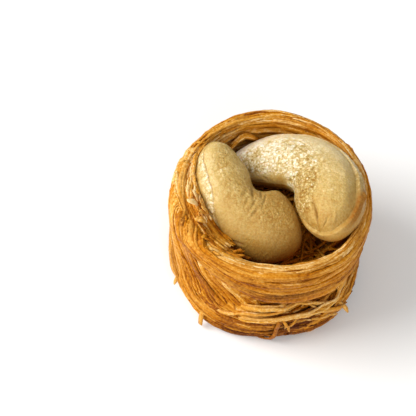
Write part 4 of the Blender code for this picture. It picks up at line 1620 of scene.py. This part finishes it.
def two_cashews() -> tuple[Cashew, Cashew]:
    """The left nut, with wrinkles in its bend, and the right one, whose lower half shows as a shelf.

    Returns:
        The nuts, each as large and as turned as its solid.
    """
    left = Cashew(
        Node.LEFT_NUT, 7.1, 5.8, -0.26, 2.09, (-7.5, -2.8, 22.7), (-13.0, -15.0, 144.0),
        Seam(angle=57.0, twist=0.0, sag=70.0, highest=0.4, width=0.13, depth=0.24, ledge=0.12,
             ledge_from=1.3, skin_at=0.0, pale=0.36, pale_from=-0.05, pale_to=0.80),
        (
            Crease((-0.24, 25.0), (-0.32, 28.0), 0.28, 0.65, 0.5),
            Crease((-0.20, 86.0), (-0.17, 117.0), 0.22, 0.36, 0.2),
            Crease((-0.26, 77.0), (-0.28, 96.0), 0.22, 0.34, 0.2),
            Crease((0.01, 93.0), (0.05, 121.0), 0.26, 0.30),
            Crease((-0.14, 108.0), (0.01, 143.0), 0.28, 0.38, 0.2),
            Crease((-0.33, 100.0), (-0.28, 135.0), 0.26, 0.30),
            Crease((-0.11, 84.0), (-0.05, 109.0), 0.22, 0.34, 0.2),
            Crease((-0.07, 118.0), (0.08, 150.0), 0.26, 0.34),
            Crease((-0.04, 80.0), (0.0, 104.0), 0.20, 0.26),
            Crease((-0.24, 120.0), (-0.15, 150.0), 0.26, 0.30),
            Crease((0.61, 81.0), (0.59, 82.0), 0.22, 0.20, 0.4),
            Crease((-0.15, 46.0), (-0.35, 47.0), 0.45, -0.12),
            Crease((-0.76, 2.0), (-0.36, -4.0), 2.80, -0.80),
        ),
        flaky=0.42,
        flaked_to=1.2,
        pale=0.40,
        paler=0.14,
        golden=0.0,
        notch=0.28,
    )
    right = Cashew(
        Node.RIGHT_NUT, 7.2, 5.7, 0.20, 2.82, (6.5, 7.9, 24.1), (8.5, -19.5, -40.5),
        Seam(angle=36.0, twist=-18.0, sag=0.0, highest=0.0, width=0.15, depth=0.30, ledge=0.85,
             ledge_from=0.45, skin_at=0.71, pale=0.20, pale_from=0.15, pale_to=0.56),
        (
            Crease((0.70, 116.0), (0.98, 100.0), 0.80, 0.55),
            Crease((0.74, 114.0), (0.99, 100.0), 0.30, 0.60, 0.4),
            Crease((0.92, 70.0), (0.99, 66.0), 0.30, 0.50),
            Crease((0.86, 60.0), (0.92, 45.0), 0.35, -0.18),
            Crease((0.06, 84.0), (0.05, 85.0), 0.22, 0.24),
            Crease((0.18, 101.0), (0.17, 102.0), 0.24, 0.24),
            Crease((-0.38, 148.0), (-0.33, 166.0), 0.35, 0.25),
            Crease((-0.58, 159.0), (-0.48, 172.0), 0.40, 0.20),
            Crease((0.46, 142.0), (0.61, 121.0), 0.35, 0.15),
            Crease((0.56, 9.0), (0.61, 16.0), 0.70, -0.80, 2.4),
            Crease((0.18, 22.0), (0.56, 11.0), 0.16, -0.12),
        ),
        flaky=1.0,
        flaked_to=0.05,
        pale=0.71,
        paler=-0.37,
        golden=1.0,
        notch=0.20,
    )
    return left, right


def main() -> None:
    """Loads the frame and builds the nest, the nuts and the studio."""
    logging.basicConfig(level=logging.INFO, format="%(message)s")
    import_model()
    nuts = two_cashews()
    Nest(nuts).build()
    flesh = RoastedCashew().build()
    for nut in nuts:
        nut.build(flesh)
    studio = Studio()
    studio.table()
    studio.light()
    studio.camera()


if __name__ == "__main__":
    main()
